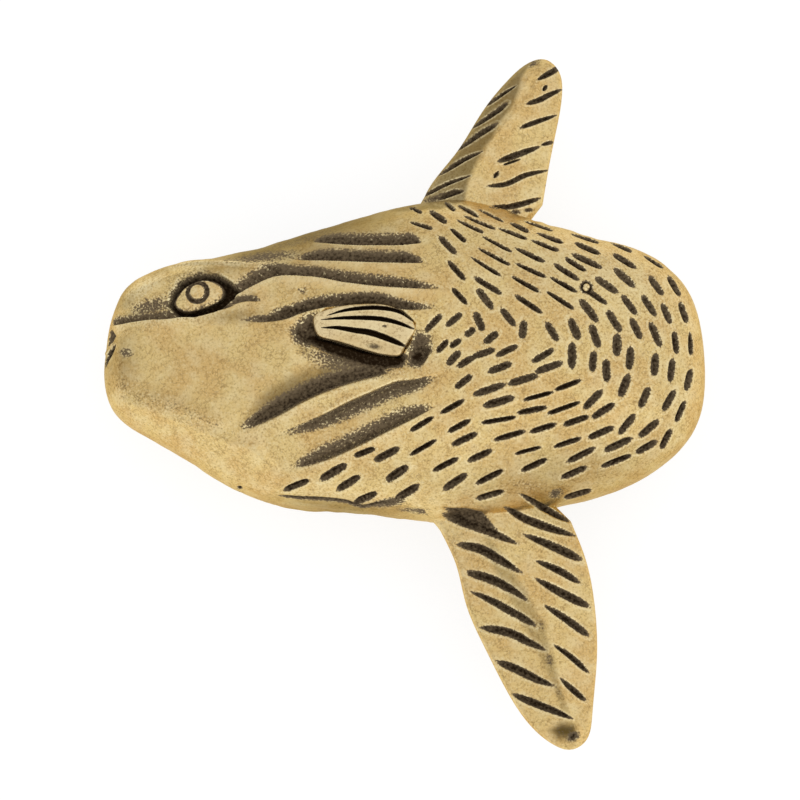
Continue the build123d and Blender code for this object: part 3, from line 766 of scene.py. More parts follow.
@dataclass
class BodyHalf:
    """One cast half of the hollow body with its chased flank."""

    side: Side
    wall_mm: float = 1.8
    flank_power: float = 2.4
    flat_share: float = 0.25
    crest_along_share: float = 0.56
    crest_up_share: float = -0.01
    rows: int = 401
    columns: int = 641
    inner_step: int = 10
    dash_depth_mm: float = 0.25
    bead_px: tuple[float, float] = (586.3, 287.3)
    cavity_tone: float = 0.4
    full_wear_mm: float = 0.14
    relief: Relief = field(init=False)

    def outline(self) -> tuple[Array, Array, float]:
        """Side outline of the half from its CAD node.

        Returns:
            The crest in the mid-plane, the outline as evenly spaced points around it, and the bulge of the
            flank.
        """
        points = node_points("body_left")
        low, high = points.min(axis=0), points.max(axis=0)
        size = high - low
        crest = low[:2] + size[:2] * np.array([self.crest_along_share, 0.5 + self.crest_up_share])
        rel = points[:, :2] - crest
        turn = np.degrees(np.arctan2(rel[:, 1], rel[:, 0])) % 360.0
        bins = 720
        reach = np.zeros(bins)
        np.maximum.at(reach, (turn * (bins / 360.0)).astype(int) % bins, np.hypot(rel[:, 0], rel[:, 1]))
        window = np.arange(-10, 11)
        around = (np.arange(bins)[:, None] + window) % bins
        reach = reach[around].max(axis=1)[around].min(axis=1)
        weight = np.exp(-((window / 3.5) ** 2))
        reach = (reach[around] * weight).sum(axis=1) / weight.sum()
        angle = np.radians((np.arange(bins) + 0.5) * (360.0 / bins))
        ring = crest + np.stack([reach * np.cos(angle), reach * np.sin(angle)], axis=1)
        return crest, even_ring(ring, 4000), size[2]

    def level(self, share: Array) -> Array:
        """Height of the flank from 0 at the rim to 1 on its flat crest, by share of the way to the rim."""
        low = np.clip(share, self.flat_share, 1.0)
        top = 1.0 - self.flat_share**self.flank_power
        return ((1.0 - low**self.flank_power) / top) ** (1.0 / self.flank_power)

    def rise_at(self, spots: Array) -> Array:
        """Height of the plain flank above the seam.

        Args:
            spots: X and Y of places in millimetres, one per row.

        Returns:
            Heights in millimetres, falling below zero outside the body.
        """
        crest, outline, rise = self.outline()
        rel, ring = spots - crest, outline - crest
        turn = np.arctan2(ring[:, 1], ring[:, 0])
        order = np.argsort(turn)
        reach = np.linalg.norm(ring, axis=1)[order]
        reach = np.interp(np.arctan2(rel[:, 1], rel[:, 0]), turn[order], reach, period=2 * math.pi)
        away = np.linalg.norm(rel, axis=1)
        return rise * self.level(away / reach) - 0.8 * np.maximum(away - reach, 0.0)

    def pillow(self, rows: int, columns: int, inset: float) -> Array:
        """Points of the flank, or of the cavity under it.

        Args:
            rows: Points of the grid from belly to back.
            columns: Points of the grid from head to tail.
            inset: Distance inside the outer surface in millimetres.

        Returns:
            Points in millimetres, row by row.
        """
        crest, outline, rise = self.outline()
        radius, turn = disc_grid(rows, columns)
        share = np.linspace(0.0, 1.0, 2000)
        level = self.level(share)
        run = np.concatenate([[0.0], np.cumsum(np.hypot(np.diff(share) * 15.0, np.diff(level) * rise))])
        ring = np.interp(radius * run[-1], run, share)
        height = np.interp(ring, share, level)
        rel = closed_at(outline, turn) - crest
        rel = rel * (1.0 - inset / np.linalg.norm(rel, axis=1, keepdims=True))
        return np.column_stack([crest + rel * ring[:, None], MID + (rise - inset) * height])

    def chase(self, fins: "tuple[BladeFin, ...]") -> None:
        """Carve head, folds, hollows and dashes into the left flank.

        Args:
            fins: Blade fins whose strokes reach down onto the flank.
        """
        points = self.pillow(self.rows, self.columns, 0.0)
        self.relief = Relief(points, grid_normals(points, self.rows, self.columns))
        self.form_head()
        self.form_folds()
        self.form_hollow()
        self.strike(self.relief)
        for fin in fins:
            fin.mark(self.relief)
        self.relief.patch(self.bead_px, (9, 9), 0, -0.08, 2.6)
        self.relief.bead(self.bead_px, 3.7, 0.3)
        for size, lift in CAST_SKIN:
            self.relief.roughen(size, lift)
        edge = smooth(0.0, 1.5, points[:, 2] - MID)
        self.relief.height = np.where(self.relief.height > 0.0, self.relief.height * edge, self.relief.height)
        self.relief.wear(self.rows, self.columns, WEAR_REACH, self.full_wear_mm)

    def strike(self, relief: Relief) -> None:
        """Give a surface its part of the flank's painted shade, painted highlight and chisel dashes."""
        # Painted shade: olive over the forehead slope, the belly bevel and the lower rear flank.
        for *oval, dull in (
            ((305, 224), (185, 52), 14, 0.97), ((262, 250), (84, 22), 8, 0.8),
            ((345, 508), (115, 17), -6, 0.55), ((570, 470), (180, 75), 12, 0.34),
        ):
            relief.patch(*oval, dull=dull)
        # Painted highlight over the upper rear flank.
        relief.patch((585, 262), (170, 80), -22, painted_highlight=0.45)
        for x0, y0, x1, y1, width in DASHES:
            shape = (0.75, 0.45) if width < 5.3 and y1 > y0 else (0.5, 0.12)
            dark = 0.76 + 0.17 * smooth(300.0, 460.0, y1) + 0.25 * (1.0 - smooth(4.5, 8.0, width))
            relief.stroke(((x0, y0), (x1, y1)), width, self.dash_depth_mm, dark, *shape)

    def form_head(self) -> None:
        """Shape cheek, chin, forehead, brow, eye socket and mouth."""
        relief = self.relief
        cheek = ((108, 330), (139, 322), (180, 318), (214, 312), (240, 313), (296, 322), (306, 345),
                 (326, 360), (312, 390), (276, 412), (228, 432), (170, 416), (112, 396))
        relief.area(cheek, 18, 0.06, flatten=0.85, grit=0.8)
        chin = ((112, 397), (170, 417), (228, 433), (262, 440), (284, 470), (272, 495), (240, 488),
                (190, 462), (130, 427), (114, 408))
        relief.area(chin, 10, flatten=0.6)
        relief.fold(((110, 392), (141, 399), (170, 408), (201, 420), (232, 432)), 1.0, 0.4, 0.07, 0.2,
                    0.05, shade=0.1)
        slope = ((190, 262), (240, 268), (291, 267), (302, 254), (330, 240), (380, 230), (430, 214),
                 (432, 176), (300, 186), (190, 236))
        relief.area(slope, 17, flatten=0.6, grit=0.6)
        relief.patch((262, 258), (66, 13), 6, dark=0.62)
        relief.patch((300, 238), (90, 20), 14, dark=0.3)
        relief.stroke(((112, 315), (132, 293), (152, 282), (178, 272), (206, 269), (245, 270), (296, 266)),
                      26, -0.3, 0.0)
        relief.stroke(((168, 271.5), (185, 267.5), (206, 266), (230, 266.5), (263, 269), (291, 265.6)),
                      5.5, -0.16, 0.0)
        socket = ((166, 306), (171, 292), (180, 279), (199, 273), (218, 274), (231, 280), (241, 289),
                  (234, 300), (216, 312.5), (195, 318), (178, 317.5))
        relief.area(socket, 3.5, -0.75, 1.4)
        for stain in (
            ((196, 296), (44, 30), 20, 0.0, 1.1), ((152, 306), (38, 15), 14, -0.12, 0.66),
            ((166, 314), (30, 7), 4, -0.05, 0.8), ((127, 353), (11, 8), 0, -0.05, 0.6),
            ((124, 386), (18, 18), 0, -0.03, 0.25), ((239.5, 488.3), (4, 3), 0, -0.15, 1.5),
        ):
            relief.patch(*stain)
        # Painted shade: olive around the brow, beside the snout and under the eye.
        for *oval, dull in (
            ((128, 290), (26, 8), 48, 0.4), ((124, 303), (30, 11), 32, 0.4), ((165, 274), (34, 6), 18, 0.35),
            ((214, 271), (56, 8), 0, 0.45), ((116, 362), (34, 50), 0, 0.36), ((235, 316), (60, 12), 2, 0.42),
        ):
            relief.patch(*oval, dull=dull)
        # Painted highlights along the brow roll and its top edge.
        for *oval, painted_highlight in (
            ((148, 288), (32, 9), 32, 1.0), ((190, 269), (44, 7), 5, 0.8), ((240, 267), (56, 4), 0, 0.9),
        ):
            relief.patch(*oval, painted_highlight=painted_highlight)
        relief.fold(((112, 325), (125, 322.5), (139, 320), (152, 318.5), (165, 318), (180, 316), (200, 313.5),
                     (214, 310.5), (230, 306), (240, 301)), 0.7, 0.12, 0.28, 0.75, 0.1, (0.05, 0.2))
        relief.fold(((229, 304), (246, 300), (262, 300.5)), 0.5, 0.15, 0.16, 0.7)
        relief.area(((111, 328), (119, 337), (113, 344), (105, 350), (99, 340)), 2.5, -0.3, 0.9)
        relief.stroke(((118, 345), (112, 353), (107, 361), (104, 370)), 3.6, 0.3, 1.0)
        relief.stroke(((117, 342), (111, 349), (106, 357)), 4.5, -0.18, 0.0)

    def form_folds(self) -> None:
        """Press in the folds behind the brow, under the cheek and along the belly."""
        relief = self.relief
        relief.fold(((303, 238.5), (315, 241), (345, 243.8), (378, 244.3), (402, 244), (424, 241.5)), 0.92,
                    0.12, 0.32, 0.95, 0.08, (0.3, 0.12), 0.5, 0.15, 1.25)
        relief.fold(((286, 258.5), (300, 259), (329, 259.6), (361, 260.7), (394, 261.5), (430, 262)), 0.92,
                    0.12, 0.34, 0.95, 0.08, (0.3, 0.2), 0.5, 0.15, 1.25)
        relief.fold(((226, 300), (243, 290.3), (263, 280.4), (277.6, 275.5), (295.7, 275), (320.4, 277),
                     (345, 281.2), (378, 285), (411, 287), (450, 288.3), (460, 289.5)), 0.92, 0.12, 0.4,
                    0.85, 0.16, (0.1, 0.35), 0.5, 0.15, 1.25)
        relief.fold(((232, 321), (263, 320), (285, 316.5), (303, 309), (330, 303), (372, 301), (411, 307),
                     (452, 305.5)), 0.85, 0.25, 0.42, 0.98, 0.0, (0.35, 0.35), 1.0, 0.15, 1.15)
        relief.fold(((226, 431.5), (249, 425), (278, 411), (302, 397.5), (325, 387.5), (354, 378),
                     (390, 369)), 1.35, 0.45, 0.42, 0.95, 0.1, (0.35, 0.1), 1.0, 0.75, 1.0)
        relief.fold(((446, 373), (426, 379), (408, 382.5), (396, 384), (371, 395), (350, 404), (324, 417),
                     (289, 431), (258, 440)), 1.1, 0.3, 0.4, 0.75, 0.06, (0.25, 0.5), 1.0, 0.15, 1.3)
        relief.fold(((279, 467), (289, 469), (321, 461), (354, 447), (386, 431), (418, 415), (442, 402)),
                    1.3, 0.12, 0.42, 0.77, 0.1, (0.3, 0.25), 1.0, 0.15, 1.25)
        keel = ((226, 480), (266, 494), (297, 496.5), (321, 497.5), (345, 500), (362, 506), (380, 504),
                (420, 507), (450, 513), (490, 524), (450, 540), (380, 530), (300, 518), (250, 504))
        relief.area(keel, 4, -0.06, 0.12, grit=0.7)
        relief.stroke(((270, 503), (305, 505.5), (337.5, 508.7), (382.5, 515), (420, 519)), 3.6, -0.1, 0.0)
        relief.fold(((392, 503), (378, 503), (362, 505), (345, 500), (321, 497.5), (297, 496.5),
                     (270, 495)), 0.38, 0.12, 0.14, 1.0, 0.07, (0.2, 0.3))
        # Dark patina stains; those along the keel are painted shadow as well as patina.
        for stain in (
            ((302, 290), (9, 7), 0, -0.1, 0.5), ((290, 310), (34, 9), 14, -0.1, 1.15),
            ((262, 318), (30, 5), 4, -0.06, 0.9), ((388, 503), (30, 8), 10, -0.1, 0.95),
            ((420, 512), (40, 6), -6, -0.05, 0.6), ((556, 494), (12, 8), 20, -0.08, 0.85),
            ((526, 485), (34, 9), -10, 0.0, 0.24),
        ):
            relief.patch(*stain)

    def form_hollow(self) -> None:
        """Sink the dished hollow under the pectoral fin, and darken it with patina and with the paddle's
        painted shadow.
        """
        relief = self.relief
        relief.patch((365, 333), (92, 56), -8, -0.4, 0.36)
        paddle = ((311, 322), (325, 306), (346, 301), (372, 299), (400, 306), (417, 322), (412, 342),
                  (401, 358), (362, 352), (314, 338))
        relief.area(paddle, 4, -0.6, 0.55)
        # Painted shadow: nearly black along the paddle's lower edge, with patina.
        relief.area(((294, 331), (304, 344), (326, 357), (352, 366), (382, 373), (406, 370), (414, 352),
                     (398, 346), (350, 336), (312, 326)), 10, -0.45, 1.42)
        relief.patch((350, 361), (76, 24), -10, 0.0, 0.72)
        relief.area(((282, 328), (300, 308), (322, 302), (330, 342), (308, 356), (288, 348)), 17, -0.3, 1.0)
        relief.area(((402, 346), (412, 322), (436, 330), (438, 352), (422, 374), (400, 370)), 15, -0.3, 0.95)
        relief.patch((417, 356), (12, 17), -22, -0.08, 1.5)

    def build(self, material: bpy.types.Material) -> bpy.types.Object:
        """Make the half as a closed shell.

        Args:
            material: Finish of the body.

        Returns:
            The new piece.
        """
        outer = self.relief.surface()
        outer[:, 2] = np.minimum(outer[:, 2], CAD_BOX[1][2] / MM)
        small = [(n - 1) // self.inner_step + 1 for n in (self.rows, self.columns)]
        inner = self.pillow(*small, self.wall_mm)
        faces = grid_faces(self.rows, self.columns)
        start = len(outer)
        faces += [tuple(i + start for i in f) for f in grid_faces(*small, flip=True)]
        rim, inner_rim = grid_rim(self.rows, self.columns), grid_rim(*small) + start
        step = self.inner_step
        for k in range(len(inner_rim)):
            edge = [int(rim[(k * step + j) % len(rim)]) for j in range(step + 1)]
            back = [int(inner_rim[(k + 1) % len(inner_rim)]), int(inner_rim[k])]
            faces.append(tuple((edge + back)[::-1]))
        points = np.vstack([outer, inner])
        cavity = np.full(len(inner), self.cavity_tone)
        tones = {tone: np.concatenate([skin, cavity]) for tone, skin in self.relief.tones().items()}
        name = self.side.name.lower()
        names = f"body_shell_{name}", f"body_{name}", "body_brass"
        return make_piece(*names, points, faces, tones, material, self.side)


@dataclass
class BladeFin:
    """A blade fin with a long ridge, chased with slanting strokes on both faces."""

    node: str
    upward: bool
    ridge_px: Pixels
    strokes: tuple[tuple[Pixels, float, float], ...]
    hollows_and_shade: tuple[tuple[Pixels, float, float, float, float], ...] = ()
    smudges_and_shade: tuple[tuple[tuple[float, float], tuple[float, float], float, float, float, float], ...] = ()
    front_power: float = 1.0
    dark: float = 0.84
    flare_mm: float = 0.25
    flare_reach_mm: float = 0.7
    tuck_share: float = 0.6
    stroke_mm: float = 0.28
    ridge_level_mm: float = 1.4
    full_wear_mm: float = 0.09
    skin_grit: float = 0.8
    rows: int = 280
    columns: int = 121
    front_edge_mm: float = 0.5
    rear_edge_mm: float = 0.55
    root_ridge_mm: float = 1.95
    tip_ridge_mm: float = 1.0
    fillet_mm: float = 3.6
    inside_mm: float = 4.2

    def chords(self) -> tuple[Array, Array, Array]:
        """Front and rear edge of the blade by level, read from its CAD node.

        Returns:
            Levels from root to tip, and the X of the front and of the rear edge at each.
        """
        points, edges = node_points(self.node), node_edges(self.node)
        body = node_points("body_left")[:, 1]
        tip = points[:, 1].max() if self.upward else points[:, 1].min()
        root = body.max() - self.inside_mm if self.upward else body.min() + self.inside_mm
        even = np.linspace(0.0, 1.0, self.rows)
        levels = root + (tip - root) * (0.45 * np.sin(even * math.pi / 2) + 0.55 * even)
        front, rear = np.full(self.rows, np.nan), np.full(self.rows, np.nan)
        a, b = points[edges[:, 0]], points[edges[:, 1]]
        for i, level in enumerate(levels):
            cross = (a[:, 1] - level) * (b[:, 1] - level) < 0.0
            if cross.any():
                t = (level - a[cross, 1]) / (b[cross, 1] - a[cross, 1])
                x = a[cross, 0] + t * (b[cross, 0] - a[cross, 0])
                front[i], rear[i] = x.min(), x.max()
        return levels, front, rear

    def face(self, body: BodyHalf) -> tuple[Array, Array, Array]:
        """Left face of the blade before chasing, run out in a fillet on the flank.

        Args:
            body: Half that the blade stands on.

        Returns:
            Points in millimetres, row by row from root to tip, the distance of each from the nearer edge,
            and its share in the fillet.
        """
        levels, front, rear = self.chords()
        rim = node_points("body_left")[:, 1]
        out = levels - rim.max() if self.upward else rim.min() - levels
        for line in (front, rear):
            good = (out > 0.6) & np.isfinite(line)
            fit = np.polyfit(levels[good][:12], line[good][:12], 1)
            line[~good] = np.polyval(fit, levels[~good])
        rear -= self.tuck_share * np.maximum(-out, 0.0)
        front -= self.flare_mm * np.exp(-np.maximum(out + 0.4, 0.0) / self.flare_reach_mm)
        front[-1] = rear[-1] = 0.5 * (front[-2] + rear[-2])
        flat = np.array([0.0, 0.0, 1.0])
        ridge = VIEW.on_plane(through(self.ridge_px, 10), flat * (MID + self.ridge_level_mm), flat)
        order = np.argsort(ridge[:, 1])
        ridge_x = np.interp(levels, ridge[order, 1], ridge[order, 0])
        chord = (rear - front)[:, None]
        t = (0.5 - 0.5 * np.cos(np.linspace(0.0, math.pi, self.columns)))[None, :]
        peak = np.clip((ridge_x - front)[:, None] / np.maximum(chord, 1e-6), 0.1, 0.9)
        ahead = np.clip(t / peak, 0.0, 1.0) ** self.front_power
        behind = np.clip((1.0 - t) / (1.0 - peak), 0.0, 1.0)
        along = np.clip(out / out.max(), 0.0, 1.0)[:, None]
        slim = np.minimum(chord / 4.0, 1.0)
        crown = (self.root_ridge_mm + (self.tip_ridge_mm - self.root_ridge_mm) * along) * slim
        front_edge, rear_edge = self.front_edge_mm * slim, np.minimum(self.rear_edge_mm, 0.8 * crown) * slim
        fore = front_edge + (crown - front_edge) * ahead
        aft = rear_edge + (crown - rear_edge) * behind
        plain = np.where(t < peak, fore, aft)
        inside = np.minimum(t, 1.0 - t) * chord
        bend = np.sqrt(np.clip(1.0 - (1.0 - np.clip(inside / 0.5, 0.0, 1.0)) ** 2, 0.0, 1.0))
        x = front[:, None] + chord * t
        y = np.repeat(levels[:, None], self.columns, axis=1)
        flank = body.rise_at(np.stack([x, y], axis=-1).reshape(-1, 2)).reshape(x.shape)
        flank = flank - 0.15 - 0.7 * smooth(1.6, 3.4, -out)[:, None]
        share = np.clip(0.5 + 0.5 * (flank - plain) / self.fillet_mm, 0.0, 1.0)
        blend = plain + (flank - plain) * share + self.fillet_mm * share * (1.0 - share)
        hard = np.maximum(plain * bend, flank)
        height = np.maximum(hard + (blend - hard) * smooth(0.2, 2.4, inside), 0.0)
        points = np.stack([x, y, MID + height], axis=-1).reshape(-1, 3)
        return points, inside.ravel(), (4.0 * share * (1.0 - share)).ravel()

    def mark(self, relief: Relief) -> None:
        """Cut the strokes, hollows, stains and painted shade of the fin into the part of them that a surface
        carries.
        """
        for line, width, widest in self.strokes:
            relief.stroke(line, 1.06 * width, self.stroke_mm, self.dark, widest, 0.55)
        for edge, soft, lift, dark, dull in self.hollows_and_shade:
            relief.area(edge, soft, lift, dark, dull=dull)
        for middle, radii, turn, lift, dark, dull in self.smudges_and_shade:
            relief.patch(middle, radii, turn, lift, dark, dull)

    def build(self, material: bpy.types.Material, body: BodyHalf) -> bpy.types.Object:
        """Make the fin as a closed blade.

        Args:
            material: Finish of the fin.
            body: Half that the fin stands on.

        Returns:
            The new piece.
        """
        top, inside, fillet = self.face(body)
        relief = Relief(top, grid_normals(top, self.rows, self.columns))
        self.mark(relief)
        body.strike(relief)
        for size, lift in CAST_SKIN:
            relief.roughen(size, lift)
        relief.height *= smooth(0.0, 0.3, inside)
        relief.wear(self.rows, self.columns, WEAR_REACH, self.full_wear_mm)
        # Painted light: the fillet at the root is lightened so that its crease looks less shaded.
        relief.worn = np.maximum(relief.worn, 0.25 * fillet)
        relief.grit[:] = self.skin_grit
        upper = relief.surface()
        count = self.rows * self.columns
        index = np.arange(count).reshape(self.rows, self.columns)
        weld = np.arange(2 * count)
        for seam in (index[:, 0], index[:, -1]):
            upper[seam, 2] = MID
            weld[seam + count] = seam
        weld[index[-1]] = weld[index[-1] + count] = index[-1, 0]
        faces = grid_faces(self.rows, self.columns, flip=not self.upward)
        faces += [tuple(i + count for i in f[::-1]) for f in faces]
        cap = [int(i) for i in index[0]] + [int(i + count) for i in index[0][-2:0:-1]]
        faces.append(tuple(cap[::-1] if self.upward else cap))
        used, remap = np.unique(weld, return_inverse=True)
        joined = []
        for f in faces:
            ring = [int(remap[i]) for i in f]
            ring = [v for k, v in enumerate(ring) if v != ring[k - 1]]
            if len(set(ring)) >= 3:
                joined.append(tuple(ring))
        points = np.vstack([upper, mirrored(upper)])[used]
        tones = {tone: np.tile(skin, 2)[used] for tone, skin in relief.tones().items()}
        return make_piece(f"{self.node}_blade", self.node, "fin_brass", points, joined, tones, material)


# Strokes of the fins: points in photo pixels, greatest width in pixels, and the share of the length where
# it lies.
DORSAL_FIN = BladeFin(
    node="dorsal_fin",
    upward=True,
    ridge_px=((543, 54), (535, 68), (526, 82), (519, 96), (516, 110), (503, 127), (492, 140), (486, 154),
              (477, 168), (470, 184), (465, 200), (458, 240)),
    strokes=(
        (((486, 106), (500, 96), (517, 85)), 3.5, 0.3),
        (((471, 129), (490, 116), (500, 109), (508, 102)), 5, 0.8),
        (((457, 151), (477, 136), (498, 123)), 5.5, 0.7),
        (((438, 176), (455, 165), (465, 159), (483, 151)), 4.5, 0.5),
        (((422, 197), (447, 184), (472, 175)), 4, 0.4), (((437, 199), (452, 193), (464, 191)), 6, 0.5),
        (((537, 80), (548, 74), (560, 67)), 6, 0.7),
        (((526, 104), (539, 100), (551, 94), (563, 89)), 5.5, 0.4),
        (((520, 128), (536, 122), (557, 115)), 4.8, 0.35),
        (((497, 162), (519, 154), (541, 146)), 6.5, 0.4), (((541, 145), (553, 142)), 4, 0.7),
        (((503, 165), (521, 159)), 2.5, 0.3),
        (((486, 186), (506, 184), (526, 175), (549, 170)), 5.2, 0.45),
        (((489, 207), (513, 206), (541, 198)), 5.8, 0.55), (((543, 91), (547, 85)), 4, 0.5),
        (((494, 178), (499, 171)), 4, 0.5),
    ),
    # Painted shade over the left face, which is turned from the light.
    hollows_and_shade=(
        (((532, 40), (538, 58), (524, 78), (521, 91), (514, 108), (503, 122), (494, 140), (487, 148),
          (477, 166), (470, 184), (467, 203), (440, 212), (380, 214), (470, 40)), 5, 0.0, 0.0, 0.68),
    ),
    smudges_and_shade=(
        ((534, 63), (14, 6), 32, -0.06, 0.5, 0.5), ((440, 197), (28, 6), 16, -0.06, 0.8, 0.5),
        ((516, 212), (9, 4), 0, -0.03, 0.9, 0.5), ((529, 210), (8, 3.5), 0, -0.03, 0.9, 0.5),
        ((548, 186), (5, 4), 0, -0.05, 0.6, 0.3),
    ),
)
ANAL_FIN = BladeFin(
    node="anal_fin",
    upward=False,
    front_power=1.45,
    dark=0.92,
    flare_mm=0.9,
    ridge_px=((480, 490), (490, 521), (498, 535), (510, 561), (530, 595), (538, 611), (550, 641), (558, 665),
              (559, 679), (568, 705), (577, 735)),
    strokes=(
        (((442, 514), (466, 523), (488, 531), (518, 544)), 9, 0.35),
        (((457, 544), (480, 549), (498, 559), (522, 573)), 9, 0.4),
        (((466, 572), (490, 579), (510, 589), (528, 601)), 9, 0.3),
        (((470, 591), (490, 600), (514, 613), (536, 626)), 7.5, 0.65),
        (((480, 627), (510, 633), (530, 643), (547, 651)), 8.5, 0.4),
        (((496, 661), (516, 669), (536, 679), (554, 686)), 8.5, 0.4),
        (((512, 694), (534, 703), (554, 711), (573, 719)), 7.5, 0.4),
        (((519, 493), (542, 507), (570, 522)), 6.5, 0.55),
        (((504, 507), (526, 519), (550, 528), (576, 536)), 8, 0.45),
        (((523, 534), (550, 545), (582, 560)), 8.5, 0.75), (((535, 560), (558, 570), (580, 583)), 7, 0.6),
        (((535, 578), (560, 592), (590, 607)), 8.5, 0.65),
        (((544, 605), (566, 619), (589, 636)), 7.5, 0.7), (((553, 644), (570, 656), (589, 673)), 5.5, 0.6),
        (((560, 678), (572, 689), (586, 701)), 6, 0.6),
    ),
    # A pit with patina and painted shade, painted shade left of the ridge, and painted shadow in the tip
    # hollow.
    hollows_and_shade=(
        (((440, 506), (468, 507), (483, 511), (502, 532), (478, 528), (454, 521)), 4, -0.15, 1.0, 0.4),
        (((476, 512), (500, 548), (530, 592), (548, 630), (557, 663), (564, 690), (574, 717), (560, 714),
          (546, 680), (532, 650), (512, 610), (488, 566)), 7, -0.05, 0.0, 0.35),
        (((541, 729), (558, 717), (578, 719), (584, 735), (572, 746), (553, 744)), 12, -0.25, 0.25, 1.0),
    ),
    # Painted shade along the ridge and in the tip hollow.
    smudges_and_shade=(
        ((541, 625), (8, 14), 20, -0.04, 0.3, 0.5), ((549, 660), (8, 13), 15, -0.05, 0.45, 0.6),
        ((558, 692), (6, 16), 20, -0.04, 0.3, 0.5), ((573, 737), (12, 7), 25, -0.05, 1.1, 0.6),
    ),
)


@dataclass
class PectoralFin:
    """Flat paddle fin with three deep grooves, set in the hollow of the flank."""

    side: Side
    outline_px: Pixels = (
        (313.5, 325), (314.5, 315), (326, 309), (346, 304.5), (370, 302.8), (388, 304.6), (404, 312),
        (414, 322), (415.5, 330), (410, 339), (405, 347), (399, 355.5), (382, 354.5), (364, 349.5),
        (340, 342), (319, 336),
    )
    grooves: tuple[tuple[Pixels, float, float], ...] = (
        (((327, 315.5), (346, 310), (370, 307.6), (388, 308.8), (402, 313), (415, 322.5)), 4.3, 0.55),
        (((321, 319.7), (340, 318), (364, 317.7), (382, 319), (398, 322.8), (414, 329)), 4.6, 0.6),
        (((321, 327.6), (337, 327.6), (353, 330), (370, 332.5), (388, 338.6), (406, 346.5)), 6.2, 0.65),
    )
    grid: int = 141
    bevel_mm: float = 0.28
    thickness_mm: float = 1.25
    groove_mm: float = 0.4
    groove_dark: float = 1.5
    skirt_shade: float = 0.7
    undercut_share: float = 0.06
    skin_grit: float = 0.5
    crease_deg: float = 50.0

    def build(self, material: bpy.types.Material) -> bpy.types.Object:
        """Make the fin as a closed paddle.

        Args:
            material: Finish of the fin.

        Returns:
            The new piece.
        """
        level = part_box("pectoral_fin_left")[1][2] / MM
        flat = np.array([0.0, 0.0, 1.0])
        ring = VIEW.on_plane(through(self.outline_px, 12, closed=True), flat * level, flat)[:, :2]
        ring = even_ring(ring, 1200)
        middle = ring.mean(axis=0)
        ahead, behind = ring[0] - middle, ring[60] - middle
        if ahead[0] * behind[1] - ahead[1] * behind[0] < 0.0:
            ring = ring[::-1]
        radius, turn = disc_grid(self.grid, self.grid)
        edge = closed_at(ring, turn) - middle
        inside = np.linalg.norm(edge, axis=1) * (1.0 - radius)
        bend = 1.0 - np.sqrt(np.clip(1.0 - (1.0 - np.clip(inside / self.bevel_mm, 0, 1)) ** 2, 0, 1))
        top = np.column_stack([middle + edge * radius[:, None], level - self.bevel_mm * bend])
        relief = Relief(top, np.tile(flat, (len(top), 1)))
        for line, width, widest in self.grooves:
            relief.stroke(line, width, self.groove_mm, self.groove_dark, widest, 0.75)
        relief.patch((374, 346), (11, 4.5), -10, -0.1, 0.62, 0.7)
        relief.patch((384.5, 326), (4, 2.5), 0, -0.08, 0.8)
        relief.roughen(0.8, 0.03)
        upper = relief.surface()
        upper[:, 2] = np.minimum(upper[:, 2], level)
        faces, rim = skirted_grid(self.grid)
        foot = upper[rim].copy()
        foot[:, :2] += (middle - foot[:, :2]) * self.undercut_share
        foot[:, 2] = level - self.thickness_mm
        points = np.vstack([upper, foot])
        relief.grit[:] = self.skin_grit
        relief.wear(self.grid, self.grid, 6, 0.15)
        tones = {tone: np.concatenate([skin, skin[rim]]) for tone, skin in relief.tones().items()}
        # Painted shade on the paddle's sides that run down under it.
        tones["patina"][len(upper) :] = self.skirt_shade
        name = self.side.name.lower()
        names = f"pectoral_paddle_{name}", f"pectoral_fin_{name}", "pectoral_brass"
        return make_piece(*names, points, faces, tones, material, self.side, self.crease_deg)


